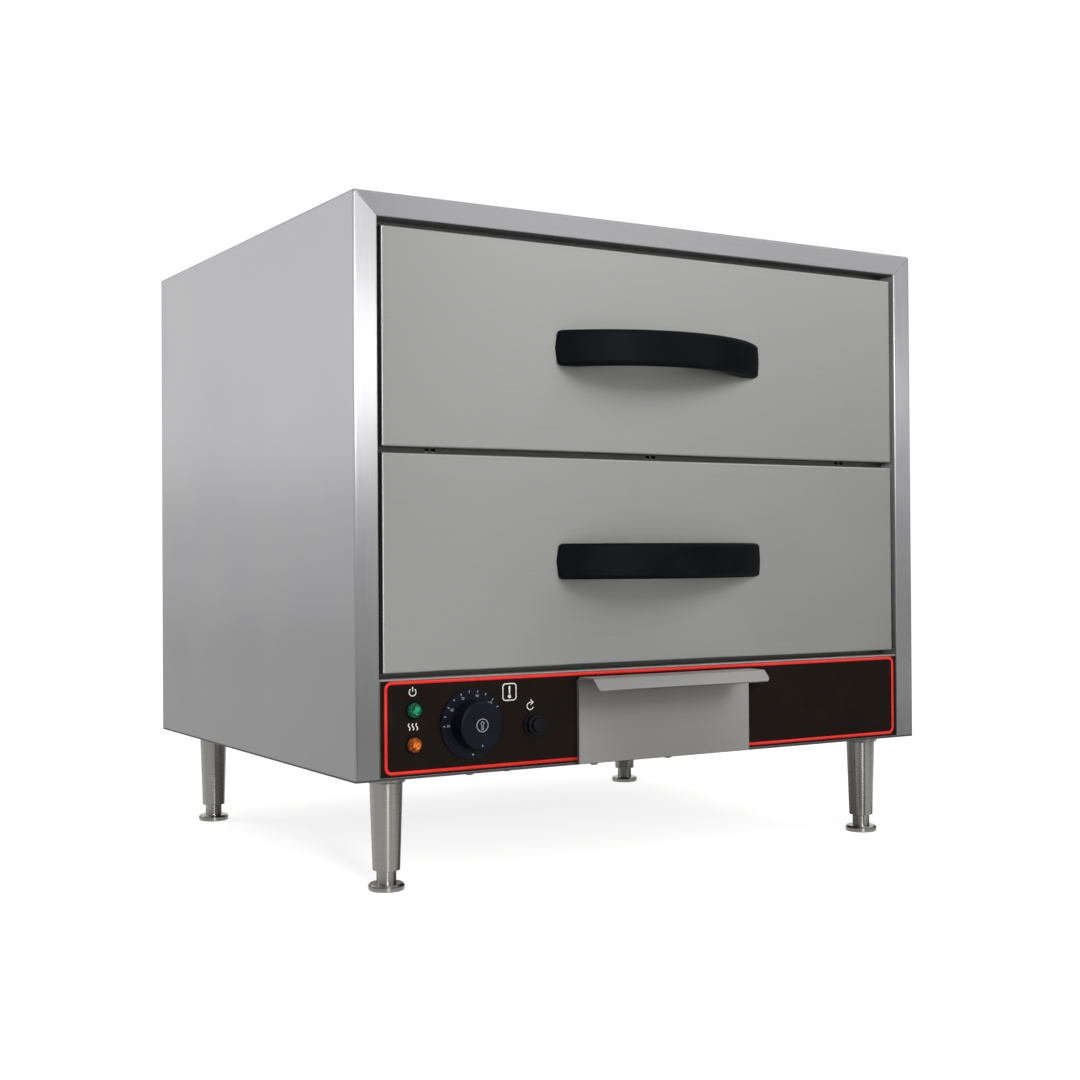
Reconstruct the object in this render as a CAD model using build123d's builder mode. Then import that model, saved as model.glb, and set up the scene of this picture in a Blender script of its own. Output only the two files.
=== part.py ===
"""Two-drawer countertop warming cabinet in folded stainless sheet, in millimetres.

X runs to the right of someone facing the drawers, Y runs from the front to the rear, Z is up.
The origin is on the table, under the middle of the whole object. Each physical piece is one
part: the folded shell and its base, the insulated liner, the heaters and controls, the two
drawers on their three-member telescopic slides, the pull-out tray and the four screw feet.
"""

from build123d import *
import os

os.makedirs("parts", exist_ok=True)

# ------------------------------------------------------------------ cabinet, driving sizes
cabinet_width = 700.0
cabinet_depth = 570.0
cabinet_height = 552.0
leg_height = 109.0
shell_sheet = 1.2
shell_bend = 2.5
stile_width = 24.6
top_rail_height = 23.2
mitre_gap = 0.4
mitre_stop = 3.0
opening_edge_radius = 1.2
rear_flange = 15.0
base_sheet = 1.5
base_flange = 25.0
shell_seam = 0.3
rear_panel_sheet = 1.0
rear_panel_margin = 5.0
touch_gap = 0.3

# ------------------------------------------------------------------ drawer fronts and gaps
panel_height = 95.0
drawer_low_gap = 4.8
drawer_mid_gap = 5.8
drawer_top_gap = 7.2
drawer_side_gap = 4.4
drawer_recess = 2.0
face_depth = 20.0
face_sheet = 1.2
face_bend = 1.8
closing_gap = 0.5

# ------------------------------------------------------------------ face frame and liner
frame_sheet = 1.2
face_lap = 12.0
frame_lap = 5.0
liner_sheet = 1.0
side_insulation = 37.8
rear_insulation = 30.0
liner_flange = 12.0
liner_headroom = 1.4
deck_drop = 14.0
deck_flange = 14.0
shelf_flange = 14.0
buffer_hole_diameter = 5.0
buffer_hole_pitch = 7.4
buffer_hole_rise = 1.2
buffer_spread = 260.0

# ------------------------------------------------------------------ telescopic slides
drawer_travel = 440.0
slide_thickness = 13.0
slide_height = 45.0
slide_sheet = 1.2
slide_gap = 0.4
slide_bend = 1.6
slide_lip = 3.5
slide_bead = 1.5
slide_front_gap = 2.0
slide_rear_gap = 10.0
slide_drop = 56.0
middle_setback = 4.0
inner_half_height = 15.0
stop_inset = 6.0
stop_width = 6.0
stop_gap = 1.0

# ------------------------------------------------------------------ drawer frame and pan
drawer_frame_sheet = 1.2
rail_below_slide = 30.0
ledge_width = 14.0
drawer_frame_rear_gap = 8.0
pan_sheet = 1.0
pan_rim_gap = 8.0
pan_floor_gap = 26.0
pan_flange_width = 12.0
pan_body_gap = 2.0
pan_corner = 38.0
pan_floor_radius = 14.0
pan_draft = 3.0

# ------------------------------------------------------------------ drawer handle
handle_span = 259.0
handle_height = 36.0
handle_reach = 54.0
handle_inner_span = 200.0
handle_inner_reach = 41.0
handle_end_corner = 9.0
handle_edge_radius = 4.5

# ------------------------------------------------------------------ control panel
fascia_sheet = 1.2
fascia_recess = 1.0
fascia_side_gap = 0.4
fascia_bend = 1.8
fascia_side_flange = 12.0
overlay_thickness = 0.6
overlay_top_margin = 2.2
overlay_side_margin = 0.8
hole_gap = 0.2

lamp_inset = 35.8
power_lamp_height = 64.5
heat_lamp_height = 31.8
lamp_flange_diameter = 18.0
lamp_flange_thickness = 1.4
lamp_barrel_diameter = 12.0
lamp_barrel_length = 26.0
lens_diameter = 15.0
lens_height = 5.0
lens_sides = 10
lens_shoulder_ratio = 0.92
lens_crown_ratio = 0.55

knob_inset = 97.4
knob_height_above_base = 48.5
dial_ring_diameter = 68.0
dial_ring_thickness = 3.4
dial_ring_bevel = 1.0
knob_diameter = 47.0
knob_length = 18.5
knob_taper = 0.7
knob_edge = 2.2
knob_wall = 2.6
knob_cavity_depth = 12.0
knob_hub_diameter = 15.0
knob_clearance = 0.5
spindle_diameter = 6.0
spindle_running_gap = 0.05
spindle_in_knob = 11.0
spindle_in_body = 12.0
spindle_flat_depth = 1.0
bushing_diameter = 10.0
thermostat_width = 46.0
thermostat_depth = 32.0

reset_inset = 167.6
reset_height_above_base = 43.4
reset_collar_diameter = 24.0
reset_collar_thickness = 3.0
reset_neck_diameter = 20.0
reset_reach = 8.0
reset_neck_edge = 0.85
reset_recess_depth = 4.5
reset_barrel_diameter = 11.0
reset_switch_diameter = 26.0
reset_switch_depth = 18.0
button_diameter = 13.2
button_radial_gap = 0.4
button_reach = 3.0
button_travel = 3.0
button_stem_diameter = 7.0
button_stem_length = 12.0
button_edge = 1.2

# ------------------------------------------------------------------ pull-out tray
tray_width = 215.0
tray_top = 88.0
tray_bottom_gap = 1.0
tray_proud = 4.0
tray_sheet = 1.5
tray_bend = 3.0
tray_lip_reach = 28.0
tray_lip_fold = 11.0
tray_lip_corner = 6.0
tray_pan_width = 202.0
tray_pan_height = 62.0
tray_pan_depth = 380.0
tray_pan_sheet = 1.0
tray_pan_corner = 3.0
tray_side_gap = 1.0
channel_sheet = 1.2
channel_height = 40.0
channel_length = 420.0

# ------------------------------------------------------------------ heaters and wiring
heater_diameter = 8.0
heater_rise = 14.0
heater_bend = 26.0
heater_half_width = 230.0
heater_inner_half_width = 95.0
heater_terminal_half_gap = 40.0
heater_front_margin = 60.0
heater_rear_margin = 50.0
heater_hairpin_depth = 150.0
heater_terminal_length = 18.0
saddle_width = 14.0
saddle_gap = 0.1
saddle_length = 10.0
capillary_diameter = 2.4
capillary_hole_radius = 3.6
capillary_offset = 16.0
capillary_run = 50.0
capillary_bend = 8.0
bulb_diameter = 6.0
bulb_length = 90.0
block_width = 70.0
block_depth = 26.0
block_height = 24.0
block_poles = 4
block_screw_diameter = 4.0
block_side_inset = 135.0
block_rear_margin = 60.0
gland_side_inset = 88.0
gland_height = 52.0
gland_body_diameter = 20.0
gland_nut_diameter = 27.0
gland_nut_thickness = 5.0
gland_dome_diameter = 23.2
gland_dome_length = 12.0
gland_dome_radius = 4.0
gland_bore_diameter = 10.0
louvre_length = 46.0
louvre_width = 5.0
louvre_pitch = 11.0
louvre_rows = 4
louvre_columns = 4
louvre_column_pitch = 60.0
louvre_height = 50.0
vent_length = 60.0
vent_width = 5.0
vent_pitch = 14.0
vent_count = 8

# ------------------------------------------------------------------ legs and screw feet
leg_side_inset = 48.0
leg_front_inset = 36.0
leg_rear_inset = 48.0
leg_flange_diameter = 37.5
leg_flange_height = 6.0
leg_top_diameter = 32.0
leg_tip_diameter = 26.3
leg_stud_diameter = 10.0
leg_stud_length = 14.0
leg_nut_diameter = 19.0
leg_nut_thickness = 6.0
foot_diameter = 35.0
foot_thickness = 6.6
foot_chamfer = 1.6
foot_neck_diameter = 19.0
foot_neck_length = 12.6
foot_stud_diameter = 12.0
foot_stud_length = 44.0
foot_stud_gap = 0.08
foot_bore_spare = 3.0

# ------------------------------------------------------------------ planes worked out from them
handle_front = drawer_recess - handle_reach
rear_proud = rear_panel_sheet + gland_nut_thickness + gland_dome_length
front_y = (-handle_front - cabinet_depth - rear_proud) / 2
rear_y = front_y + cabinet_depth
half_width = cabinet_width / 2
shell_inside_x = half_width - shell_sheet
base_z = leg_height
top_z = base_z + cabinet_height
shell_low_z = base_z + base_sheet + shell_seam
shell_inside_top = top_z - shell_sheet

opening_x = half_width - stile_width
opening_top = top_z - top_rail_height
panel_top = base_z + panel_height
gaps_total = drawer_low_gap + drawer_mid_gap + drawer_top_gap
face_height = (cabinet_height - top_rail_height - panel_height - gaps_total) / 2
face_half_width = opening_x - drawer_side_gap
face_y = front_y + drawer_recess
face_back = face_y + face_depth
frame_y = face_back + closing_gap
cavity_front = frame_y + frame_sheet
rear_inside_y = rear_y - base_sheet
liner_rear_back = rear_inside_y - rear_insulation
cavity_rear = liner_rear_back - liner_sheet
liner_x = shell_inside_x - side_insulation - liner_sheet

lower_face_low = panel_top + drawer_low_gap
upper_face_low = lower_face_low + face_height + drawer_mid_gap
face_lows = {"lower": lower_face_low, "upper": upper_face_low}
window_height = face_height - 2 * face_lap
lower_window_low = lower_face_low + face_lap
upper_window_low = upper_face_low + face_lap
deck_top = lower_window_low - deck_drop
shelf_top = (lower_window_low + window_height + upper_window_low + liner_sheet) / 2
liner_top_z = upper_window_low + window_height + liner_headroom

slide_front = cavity_front + slide_front_gap
slide_back = cavity_rear - slide_rear_gap
middle_travel = drawer_travel / 2
carrier_x = liner_x - slide_thickness
carrier_back = cavity_rear - drawer_frame_rear_gap

overlay_y = front_y + fascia_recess - overlay_thickness
fascia_back = front_y + fascia_recess + fascia_sheet
fascia_x = opening_x - fascia_side_gap
knob_x = -opening_x + knob_inset
knob_z = base_z + knob_height_above_base
lamp_x = -opening_x + lamp_inset
lamp_heights = {"power": base_z + power_lamp_height, "heat": base_z + heat_lamp_height}
reset_x = -opening_x + reset_inset
reset_z = base_z + reset_height_above_base
ring_front = overlay_y - dial_ring_thickness
knob_back = ring_front - knob_clearance
knob_front = knob_back - knob_length

block_x = half_width - block_side_inset
gland_x = half_width - gland_side_inset

tray_plate_front = front_y - tray_proud
tray_plate_back = tray_plate_front + tray_sheet
channel_floor = base_z + base_sheet + channel_sheet
tray_pan_low = channel_floor + touch_gap
tray_notch_x = tray_pan_width / 2 + tray_side_gap
tray_notch_top = tray_pan_low + tray_pan_height + tray_side_gap

leg_spots = {
    "front_left": (-half_width + leg_side_inset, front_y + leg_front_inset),
    "front_right": (half_width - leg_side_inset, front_y + leg_front_inset),
    "rear_left": (-half_width + leg_side_inset, rear_y - leg_rear_inset),
    "rear_right": (half_width - leg_side_inset, rear_y - leg_rear_inset),
}


# ------------------------------------------------------------------ helpers
def facing_front(y, x=0.0, z=0.0):
    """Plane at depth y that looks out of the front: local x is X, local y is Z."""
    return Plane(origin=(x, y, z), x_dir=(1, 0, 0), z_dir=(0, -1, 0))


def slab(x_range, y_range, z_range, mode=Mode.ADD):
    """Flat plate between two corners, added to the part that is being made."""
    lows = (x_range[0], y_range[0], z_range[0])
    highs = (x_range[1], y_range[1], z_range[1])
    centre = tuple((low + high) / 2 for low, high in zip(lows, highs))
    size = tuple(high - low for low, high in zip(lows, highs))
    with Locations(centre):
        Box(*size, mode=mode)


def save(builder, name):
    """Label a finished piece and write it under its own name."""
    builder.part.label = name
    export_step(builder.part, f"parts/{name}.step")


# ------------------------------------------------------------------ outer shell
# One blank folded into side, top and side, with mitred front returns and rear flanges.
with BuildPart() as cabinet_shell:
    slab((-half_width, half_width), (front_y, rear_y), (shell_low_z, top_z))
    long_top_edges = cabinet_shell.edges().filter_by(Axis.Y).group_by(Axis.Z)[-1]
    rim = cabinet_shell.edges().filter_by(Axis.Y, reverse=True)
    rim = rim.filter_by(lambda edge: edge.center().Z > shell_low_z + shell_seam)
    fillet(long_top_edges + rim, radius=shell_bend)
    slab(
        (-shell_inside_x, shell_inside_x),
        (front_y + shell_sheet, rear_y - shell_sheet),
        (shell_low_z - base_sheet, shell_inside_top),
        mode=Mode.SUBTRACT,
    )
    slab(
        (-opening_x, opening_x),
        (front_y - shell_sheet, front_y + 2 * shell_sheet),
        (shell_low_z - base_sheet, opening_top),
        mode=Mode.SUBTRACT,
    )
    slab(
        (-half_width + rear_flange, half_width - rear_flange),
        (rear_y - 2 * shell_sheet, rear_y + shell_sheet),
        (shell_low_z - base_sheet, top_z - rear_flange),
        mode=Mode.SUBTRACT,
    )
    # returns that run back from the opening to the face frame
    return_height = opening_top + shell_sheet - shell_low_z
    with BuildSketch(facing_front(front_y + shell_sheet, z=shell_low_z)) as returns:
        with Locations((0, return_height / 2)):
            Rectangle(2 * (opening_x + shell_sheet), return_height)
        with Locations((0, (opening_top - shell_low_z) / 2)):
            Rectangle(2 * opening_x, opening_top - shell_low_z, mode=Mode.SUBTRACT)
    extrude(amount=-(frame_y - front_y - shell_sheet))
    inner_rim = cabinet_shell.edges().filter_by(
        lambda edge: abs(edge.center().Y - front_y) < 0.01
        and abs(edge.center().X) < opening_x + 0.01
        and edge.center().Z < opening_top + 0.01
        and edge.length > stile_width
    )
    fillet(inner_rim, radius=opening_edge_radius)
    # mitre between the top rail and each stile
    with BuildSketch(facing_front(front_y - shell_sheet)) as mitres:
        for side in (-1, 1):
            with BuildLine():
                Polyline(
                    (side * opening_x, opening_top - mitre_gap / 2),
                    (side * (half_width - mitre_stop), top_z - mitre_stop - mitre_gap / 2),
                    (side * (half_width - mitre_stop), top_z - mitre_stop + mitre_gap / 2),
                    (side * opening_x, opening_top + mitre_gap / 2),
                    close=True,
                )
            make_face()
    extrude(amount=-2 * shell_sheet, mode=Mode.SUBTRACT)
save(cabinet_shell, "cabinet_shell")

# ------------------------------------------------------------------ base and rear panel
with BuildPart() as base_pan:
    slab((-half_width, half_width), (front_y, rear_y), (base_z, base_z + base_sheet))
    base_corners = base_pan.edges().filter_by(Axis.Z)
    fillet(base_corners, radius=shell_bend)
    flange_top = base_z + base_flange
    for side in (-1, 1):
        outside = side * shell_inside_x
        inside = side * (shell_inside_x - base_sheet)
        side_flange_y = (front_y + leg_front_inset, rear_inside_y - shell_sheet)
        slab(sorted((outside, inside)), side_flange_y, (base_z, flange_top))
        front_flange_x = (side * tray_notch_x, side * (fascia_x - 2 * fascia_sheet))
        front_flange_y = (fascia_back, fascia_back + base_sheet)
        slab(sorted(front_flange_x), front_flange_y, (base_z, flange_top))
    rear_flange_x = half_width - rear_flange - touch_gap
    slab((-rear_flange_x, rear_flange_x), (rear_inside_y, rear_y), (base_z, flange_top))
    for spot in leg_spots.values():
        with Locations((*spot, base_z)):
            Hole(radius=leg_stud_diameter / 2 + hole_gap)
    vent_y = (front_y + tray_pan_depth + rear_y) / 2
    with BuildSketch(Plane.XY.offset(base_z)) as vents:
        for side in (-1, 1):
            with Locations((side * half_width / 2, vent_y - base_flange)):
                with GridLocations(vent_pitch, vent_pitch, vent_count, 1):
                    SlotOverall(vent_length, vent_width, rotation=90)
    extrude(amount=base_sheet, mode=Mode.SUBTRACT)
save(base_pan, "base_pan")

rear_panel_x = half_width - rear_panel_margin
rear_panel_low = base_z + rear_panel_margin
with BuildPart() as rear_panel:
    slab(
        (-rear_panel_x, rear_panel_x),
        (rear_y, rear_y + rear_panel_sheet),
        (rear_panel_low, top_z - rear_panel_margin),
    )
    with BuildSketch(facing_front(rear_y)) as louvre_slots:
        with Locations((0, base_z + louvre_height)):
            with GridLocations(louvre_column_pitch, louvre_pitch, louvre_columns, louvre_rows):
                SlotOverall(louvre_length, louvre_width)
        with Locations((gland_x, base_z + gland_height)):
            Circle(gland_body_diameter / 2 + hole_gap)
    extrude(amount=-rear_panel_sheet, mode=Mode.SUBTRACT)
save(rear_panel, "rear_panel")

# ------------------------------------------------------------------ face frame
frame_low = panel_top - frame_lap
with BuildPart() as face_frame:
    slab(
        (-shell_inside_x, shell_inside_x),
        (frame_y, frame_y + frame_sheet),
        (frame_low, shell_inside_top),
    )
    for window_low in (lower_window_low, upper_window_low):
        slab(
            (-liner_x, liner_x),
            (frame_y - frame_sheet, frame_y + 2 * frame_sheet),
            (window_low, window_low + window_height),
            mode=Mode.SUBTRACT,
        )
    with BuildSketch(facing_front(frame_y, z=upper_face_low - buffer_hole_rise)) as holes:
        with GridLocations(buffer_spread, 1, 3, 1):
            with GridLocations(buffer_hole_pitch, 1, 2, 1):
                Circle(buffer_hole_diameter / 2)
    extrude(amount=-frame_sheet, mode=Mode.SUBTRACT)
save(face_frame, "face_frame")

# ------------------------------------------------------------------ insulated liner
liner_side_low = deck_top
for name, side in (("left", -1), ("right", 1)):
    with BuildPart() as liner_side:
        wall_x = sorted((side * liner_x, side * (liner_x + liner_sheet)))
        flange_x = sorted((side * liner_x, side * (liner_x + liner_flange)))
        slab(wall_x, (cavity_front, cavity_rear), (liner_side_low, liner_top_z))
        slab(flange_x, (cavity_front, cavity_front + liner_sheet), (liner_side_low, liner_top_z))
        slab(flange_x, (cavity_rear - liner_sheet, cavity_rear), (liner_side_low, liner_top_z))
    save(liner_side, f"liner_{name}")

liner_edge_x = liner_x + liner_flange
with BuildPart() as liner_roof:
    roof_z = (liner_top_z, liner_top_z + liner_sheet)
    roof_flange_z = (liner_top_z, liner_top_z + liner_flange)
    slab((-liner_edge_x, liner_edge_x), (cavity_front, liner_rear_back), roof_z)
    roof_front = (cavity_front, cavity_front + liner_sheet)
    slab((-liner_edge_x, liner_edge_x), roof_front, roof_flange_z)
save(liner_roof, "liner_roof")

heater_seats = {"lower": deck_top, "upper": shelf_top}
terminal_spots = [
    (side * heater_terminal_half_gap, seat + heater_rise)
    for seat in heater_seats.values()
    for side in (-1, 1)
]
with BuildPart() as liner_rear:
    slab(
        (-liner_edge_x, liner_edge_x),
        (cavity_rear, liner_rear_back),
        (deck_top, liner_top_z),
    )
    with BuildSketch(facing_front(cavity_rear)) as terminal_holes:
        with Locations(*terminal_spots):
            Circle(heater_diameter / 2 + hole_gap)
    extrude(amount=-liner_sheet, mode=Mode.SUBTRACT)
save(liner_rear, "liner_rear")

# heater path in plan, from one terminal round the cavity floor to the other
heater_front = cavity_front + heater_front_margin
heater_rear = cavity_rear - heater_rear_margin
heater_path = [
    (heater_terminal_half_gap, cavity_rear + heater_terminal_length),
    (heater_terminal_half_gap, heater_rear),
    (heater_half_width, heater_rear),
    (heater_half_width, heater_front),
    (heater_inner_half_width, heater_front),
    (heater_inner_half_width, heater_front + heater_hairpin_depth),
]
heater_path = [(-x, y) for x, y in heater_path] + [(x, y) for x, y in reversed(heater_path)]
saddle_height = heater_rise - heater_diameter / 2 - saddle_gap
saddle_mid_y = (heater_front + heater_rear) / 2
saddle_spots = [
    (side * heater_half_width, saddle_mid_y + along * (heater_rear - heater_front) / 3)
    for side in (-1, 1)
    for along in (-1, 1)
]


def add_saddles(seat):
    """Folded saddles that carry the heater tube, raised from the sheet under it."""
    for x, y in saddle_spots:
        slab(
            (x - saddle_width / 2, x + saddle_width / 2),
            (y - saddle_length / 2, y + saddle_length / 2),
            (seat - liner_sheet, seat + saddle_height),
        )


capillary_x = knob_x + capillary_offset
capillary_turn_y = fascia_back + thermostat_depth + capillary_run
with BuildPart() as lower_deck:
    deck_z = (deck_top - liner_sheet, deck_top)
    deck_flange_z = (deck_top - liner_sheet, deck_top + deck_flange)
    slab((-shell_inside_x, shell_inside_x), (cavity_front, rear_inside_y - shell_sheet), deck_z)
    for side in (-1, 1):
        edge_x = sorted((side * shell_inside_x, side * (shell_inside_x - liner_sheet)))
        slab(edge_x, (cavity_front, rear_inside_y - shell_sheet), deck_flange_z)
    add_saddles(deck_top)
    with Locations((capillary_x, capillary_turn_y, deck_top)):
        Hole(radius=capillary_hole_radius)
save(lower_deck, "lower_deck")

with BuildPart() as divider_shelf:
    slab((-liner_x, liner_x), (cavity_front, cavity_rear), (shelf_top - liner_sheet, shelf_top))
    for side in (-1, 1):
        edge_x = sorted((side * liner_x, side * (liner_x - liner_sheet)))
        slab(edge_x, (cavity_front, cavity_rear), (shelf_top - shelf_flange, shelf_top))
    add_saddles(shelf_top)
save(divider_shelf, "divider_shelf")

pad_low = deck_top + touch_gap
pad_front = cavity_front + liner_sheet + touch_gap
pad_back = cavity_rear - liner_sheet - touch_gap
pad_inner_x = liner_x + liner_sheet + touch_gap
pad_outer_x = shell_inside_x - liner_sheet - touch_gap
pad_roof_low = liner_top_z + liner_sheet + touch_gap
pad_roof_high = shell_inside_top - touch_gap
with BuildPart() as insulation:
    with BuildSketch(facing_front(pad_front)) as blanket:
        blanket_height = pad_roof_high - pad_low
        with Locations((0, pad_low + blanket_height / 2)):
            Rectangle(2 * pad_outer_x, blanket_height)
        hollow_height = pad_roof_low - pad_low
        with Locations((0, pad_low + hollow_height / 2)):
            Rectangle(2 * pad_inner_x, hollow_height, mode=Mode.SUBTRACT)
        for side in (-1, 1):
            with Locations((side * (liner_x + liner_flange / 2), pad_roof_low - liner_sheet)):
                Rectangle(liner_flange + 2 * touch_gap, 2 * liner_sheet, mode=Mode.SUBTRACT)
    extrude(amount=-(pad_back - pad_front))
    # rear pad, with pockets for the heater terminals
    slab(
        (-liner_edge_x, liner_edge_x),
        (liner_rear_back + touch_gap, rear_inside_y - touch_gap),
        (pad_low, liner_top_z),
    )
    with BuildSketch(facing_front(liner_rear_back)) as terminal_pockets:
        with Locations(*terminal_spots):
            Circle(heater_diameter)
    extrude(amount=-rear_insulation, mode=Mode.SUBTRACT)
save(insulation, "insulation")

# ------------------------------------------------------------------ heating elements
for name, seat in heater_seats.items():
    with BuildPart() as heater:
        with BuildLine(Plane.XY.offset(seat + heater_rise)) as heater_line:
            FilletPolyline(*heater_path, radius=heater_bend)
        with BuildSketch(Plane(origin=heater_line.line @ 0, z_dir=heater_line.line % 0)):
            Circle(heater_diameter / 2)
        sweep()
    save(heater, f"{name}_heater")

# ------------------------------------------------------------------ control panel
control_holes = [
    ((lamp_x, lamp_heights["power"]), lamp_barrel_diameter),
    ((lamp_x, lamp_heights["heat"]), lamp_barrel_diameter),
    ((knob_x, knob_z), bushing_diameter),
    ((reset_x, reset_z), reset_barrel_diameter),
]


def cut_controls(y, thickness):
    """Round holes for the lamps, thermostat and reset switch, and the notch of the tray."""
    with BuildSketch(facing_front(y)) as holes:
        for spot, diameter in control_holes:
            with Locations(spot):
                Circle(diameter / 2 + hole_gap)
        with Locations((0, (base_z + tray_notch_top) / 2)):
            Rectangle(2 * tray_notch_x, tray_notch_top - base_z)
    extrude(holes.sketch, amount=-thickness, mode=Mode.SUBTRACT)


fascia_y = front_y + fascia_recess
fascia_low = base_z + base_sheet + shell_seam
with BuildPart() as control_fascia:
    slab((-fascia_x, fascia_x), (fascia_y, fascia_back), (fascia_low, panel_top))
    slab((-fascia_x, fascia_x), (fascia_y, frame_y), (panel_top - fascia_sheet, panel_top))
    for side in (-1, 1):
        edge_x = sorted((side * fascia_x, side * (fascia_x - fascia_sheet)))
        slab(edge_x, (fascia_y, fascia_y + fascia_side_flange), (fascia_low, panel_top))
    top_bend = control_fascia.edges().filter_by(Axis.X).group_by(Axis.Z)[-1].sort_by(Axis.Y)[0]
    fillet(top_bend, radius=fascia_bend)
    cut_controls(fascia_y, fascia_sheet)
save(control_fascia, "control_fascia")

with BuildPart() as fascia_overlay:
    overlay_x = fascia_x - overlay_side_margin
    overlay_z = (fascia_low + overlay_side_margin, panel_top - overlay_top_margin)
    slab((-overlay_x, overlay_x), (overlay_y, fascia_y), overlay_z)
    cut_controls(overlay_y, overlay_thickness)
save(fascia_overlay, "fascia_overlay")

# ------------------------------------------------------------------ pilot lamps
for name, lamp_z in lamp_heights.items():
    with BuildPart() as lamp:
        with BuildSketch(facing_front(overlay_y, lamp_x, lamp_z)):
            Circle(lamp_flange_diameter / 2)
        extrude(amount=lamp_flange_thickness)
        flange_rim = lamp.edges().sort_by(Axis.Y)[0]
        chamfer(flange_rim, length=lamp_flange_thickness / 2)
        with BuildSketch(facing_front(overlay_y, lamp_x, lamp_z)):
            Circle(lamp_barrel_diameter / 2)
        extrude(amount=-lamp_barrel_length)
    save(lamp, f"{name}_lamp")
    with BuildPart() as lens:
        lens_plane = facing_front(overlay_y - lamp_flange_thickness, lamp_x, lamp_z)
        with BuildSketch(lens_plane):
            RegularPolygon(lens_diameter / 2, lens_sides)
        with BuildSketch(lens_plane.offset(lens_height / 2)):
            RegularPolygon(lens_diameter / 2 * lens_shoulder_ratio, lens_sides)
        loft(ruled=True)
        with BuildSketch(lens_plane.offset(lens_height / 2)):
            RegularPolygon(lens_diameter / 2 * lens_shoulder_ratio, lens_sides)
        with BuildSketch(lens_plane.offset(lens_height)):
            RegularPolygon(lens_diameter / 2 * lens_crown_ratio, lens_sides)
        loft(ruled=True)
    save(lens, f"{name}_lens")

# ------------------------------------------------------------------ thermostat
knob_axis = Axis((knob_x, 0, knob_z), (0, 1, 0))
bushing_front = overlay_y - dial_ring_thickness / 2
spindle_bore_radius = spindle_diameter / 2 + spindle_running_gap
with BuildPart() as thermostat_body:
    with BuildSketch(facing_front(fascia_back, knob_x, knob_z)):
        RectangleRounded(thermostat_width, thermostat_width, shell_bend)
    extrude(amount=-thermostat_depth)
    with BuildSketch(facing_front(fascia_back, knob_x, knob_z)):
        Circle(bushing_diameter / 2)
    extrude(amount=fascia_back - bushing_front)
    with BuildSketch(facing_front(bushing_front, knob_x, knob_z)):
        Circle(spindle_bore_radius)
    extrude(amount=-(fascia_back + spindle_in_body - bushing_front), mode=Mode.SUBTRACT)
save(thermostat_body, "thermostat_body")

with BuildPart() as dial_ring:
    with BuildSketch(facing_front(overlay_y, knob_x, knob_z)):
        Circle(dial_ring_diameter / 2)
        Circle(bushing_diameter / 2 + hole_gap, mode=Mode.SUBTRACT)
    extrude(amount=dial_ring_thickness)
    ring_rim = dial_ring.edges().group_by(Axis.Y)[0].sort_by(SortBy.LENGTH)[-1]
    chamfer(ring_rim, length=dial_ring_bevel)
save(dial_ring, "dial_ring")

with BuildPart() as thermostat_spindle:
    spindle_rear = fascia_back + spindle_in_body - knob_clearance
    with BuildSketch(facing_front(spindle_rear, knob_x, knob_z)):
        Circle(spindle_diameter / 2)
    extrude(amount=spindle_rear - knob_back + spindle_in_knob)
    # flat of the D end inside the knob
    slab(
        (knob_x - spindle_diameter, knob_x + spindle_diameter),
        (knob_back - spindle_in_knob, knob_back),
        (knob_z + spindle_diameter / 2 - spindle_flat_depth, knob_z + spindle_diameter),
        mode=Mode.SUBTRACT,
    )
save(thermostat_spindle, "thermostat_spindle")

with BuildPart() as thermostat_knob:
    knob_radius = knob_diameter / 2
    with BuildSketch(Plane(origin=(knob_x, knob_back, knob_z), x_dir=(1, 0, 0), z_dir=(0, 0, 1))):
        with BuildLine():
            Polyline(
                (0, 0),
                (knob_radius, 0),
                (knob_radius - knob_taper, -knob_length),
                (0, -knob_length),
                close=True,
            )
        make_face()
    revolve(axis=knob_axis)
    knob_rim = thermostat_knob.edges().group_by(Axis.Y)[0]
    fillet(knob_rim, radius=knob_edge)
    with BuildSketch(facing_front(knob_back, knob_x, knob_z)):
        Circle(knob_radius - knob_wall)
        Circle(knob_hub_diameter / 2, mode=Mode.SUBTRACT)
    extrude(amount=knob_cavity_depth, mode=Mode.SUBTRACT)
    with BuildSketch(facing_front(knob_back, knob_x, knob_z)) as d_bore:
        Circle(spindle_diameter / 2 + spindle_running_gap)
        with Locations((0, spindle_diameter - spindle_flat_depth + 2 * spindle_running_gap)):
            Rectangle(2 * spindle_diameter, spindle_diameter, mode=Mode.SUBTRACT)
    extrude(amount=spindle_in_knob + touch_gap, mode=Mode.SUBTRACT)
save(thermostat_knob, "thermostat_knob")

with BuildPart() as thermostat_capillary:
    capillary_start_y = fascia_back + thermostat_depth
    bulb_z = deck_top + bulb_diameter / 2 + touch_gap
    bulb_front = capillary_turn_y + capillary_run
    with BuildLine() as capillary_line:
        FilletPolyline(
            (capillary_x, capillary_start_y, knob_z),
            (capillary_x, capillary_turn_y, knob_z),
            (capillary_x, capillary_turn_y, bulb_z),
            (capillary_x, bulb_front, bulb_z),
            radius=(capillary_bend, min(capillary_bend, (bulb_z - knob_z) / 3)),
        )
    with BuildSketch(Plane(origin=capillary_line.line @ 0, z_dir=(0, 1, 0))):
        Circle(capillary_diameter / 2)
    sweep()
    with BuildSketch(facing_front(bulb_front, capillary_x, bulb_z)):
        Circle(bulb_diameter / 2)
    extrude(amount=-bulb_length)
save(thermostat_capillary, "thermostat_capillary")

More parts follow.
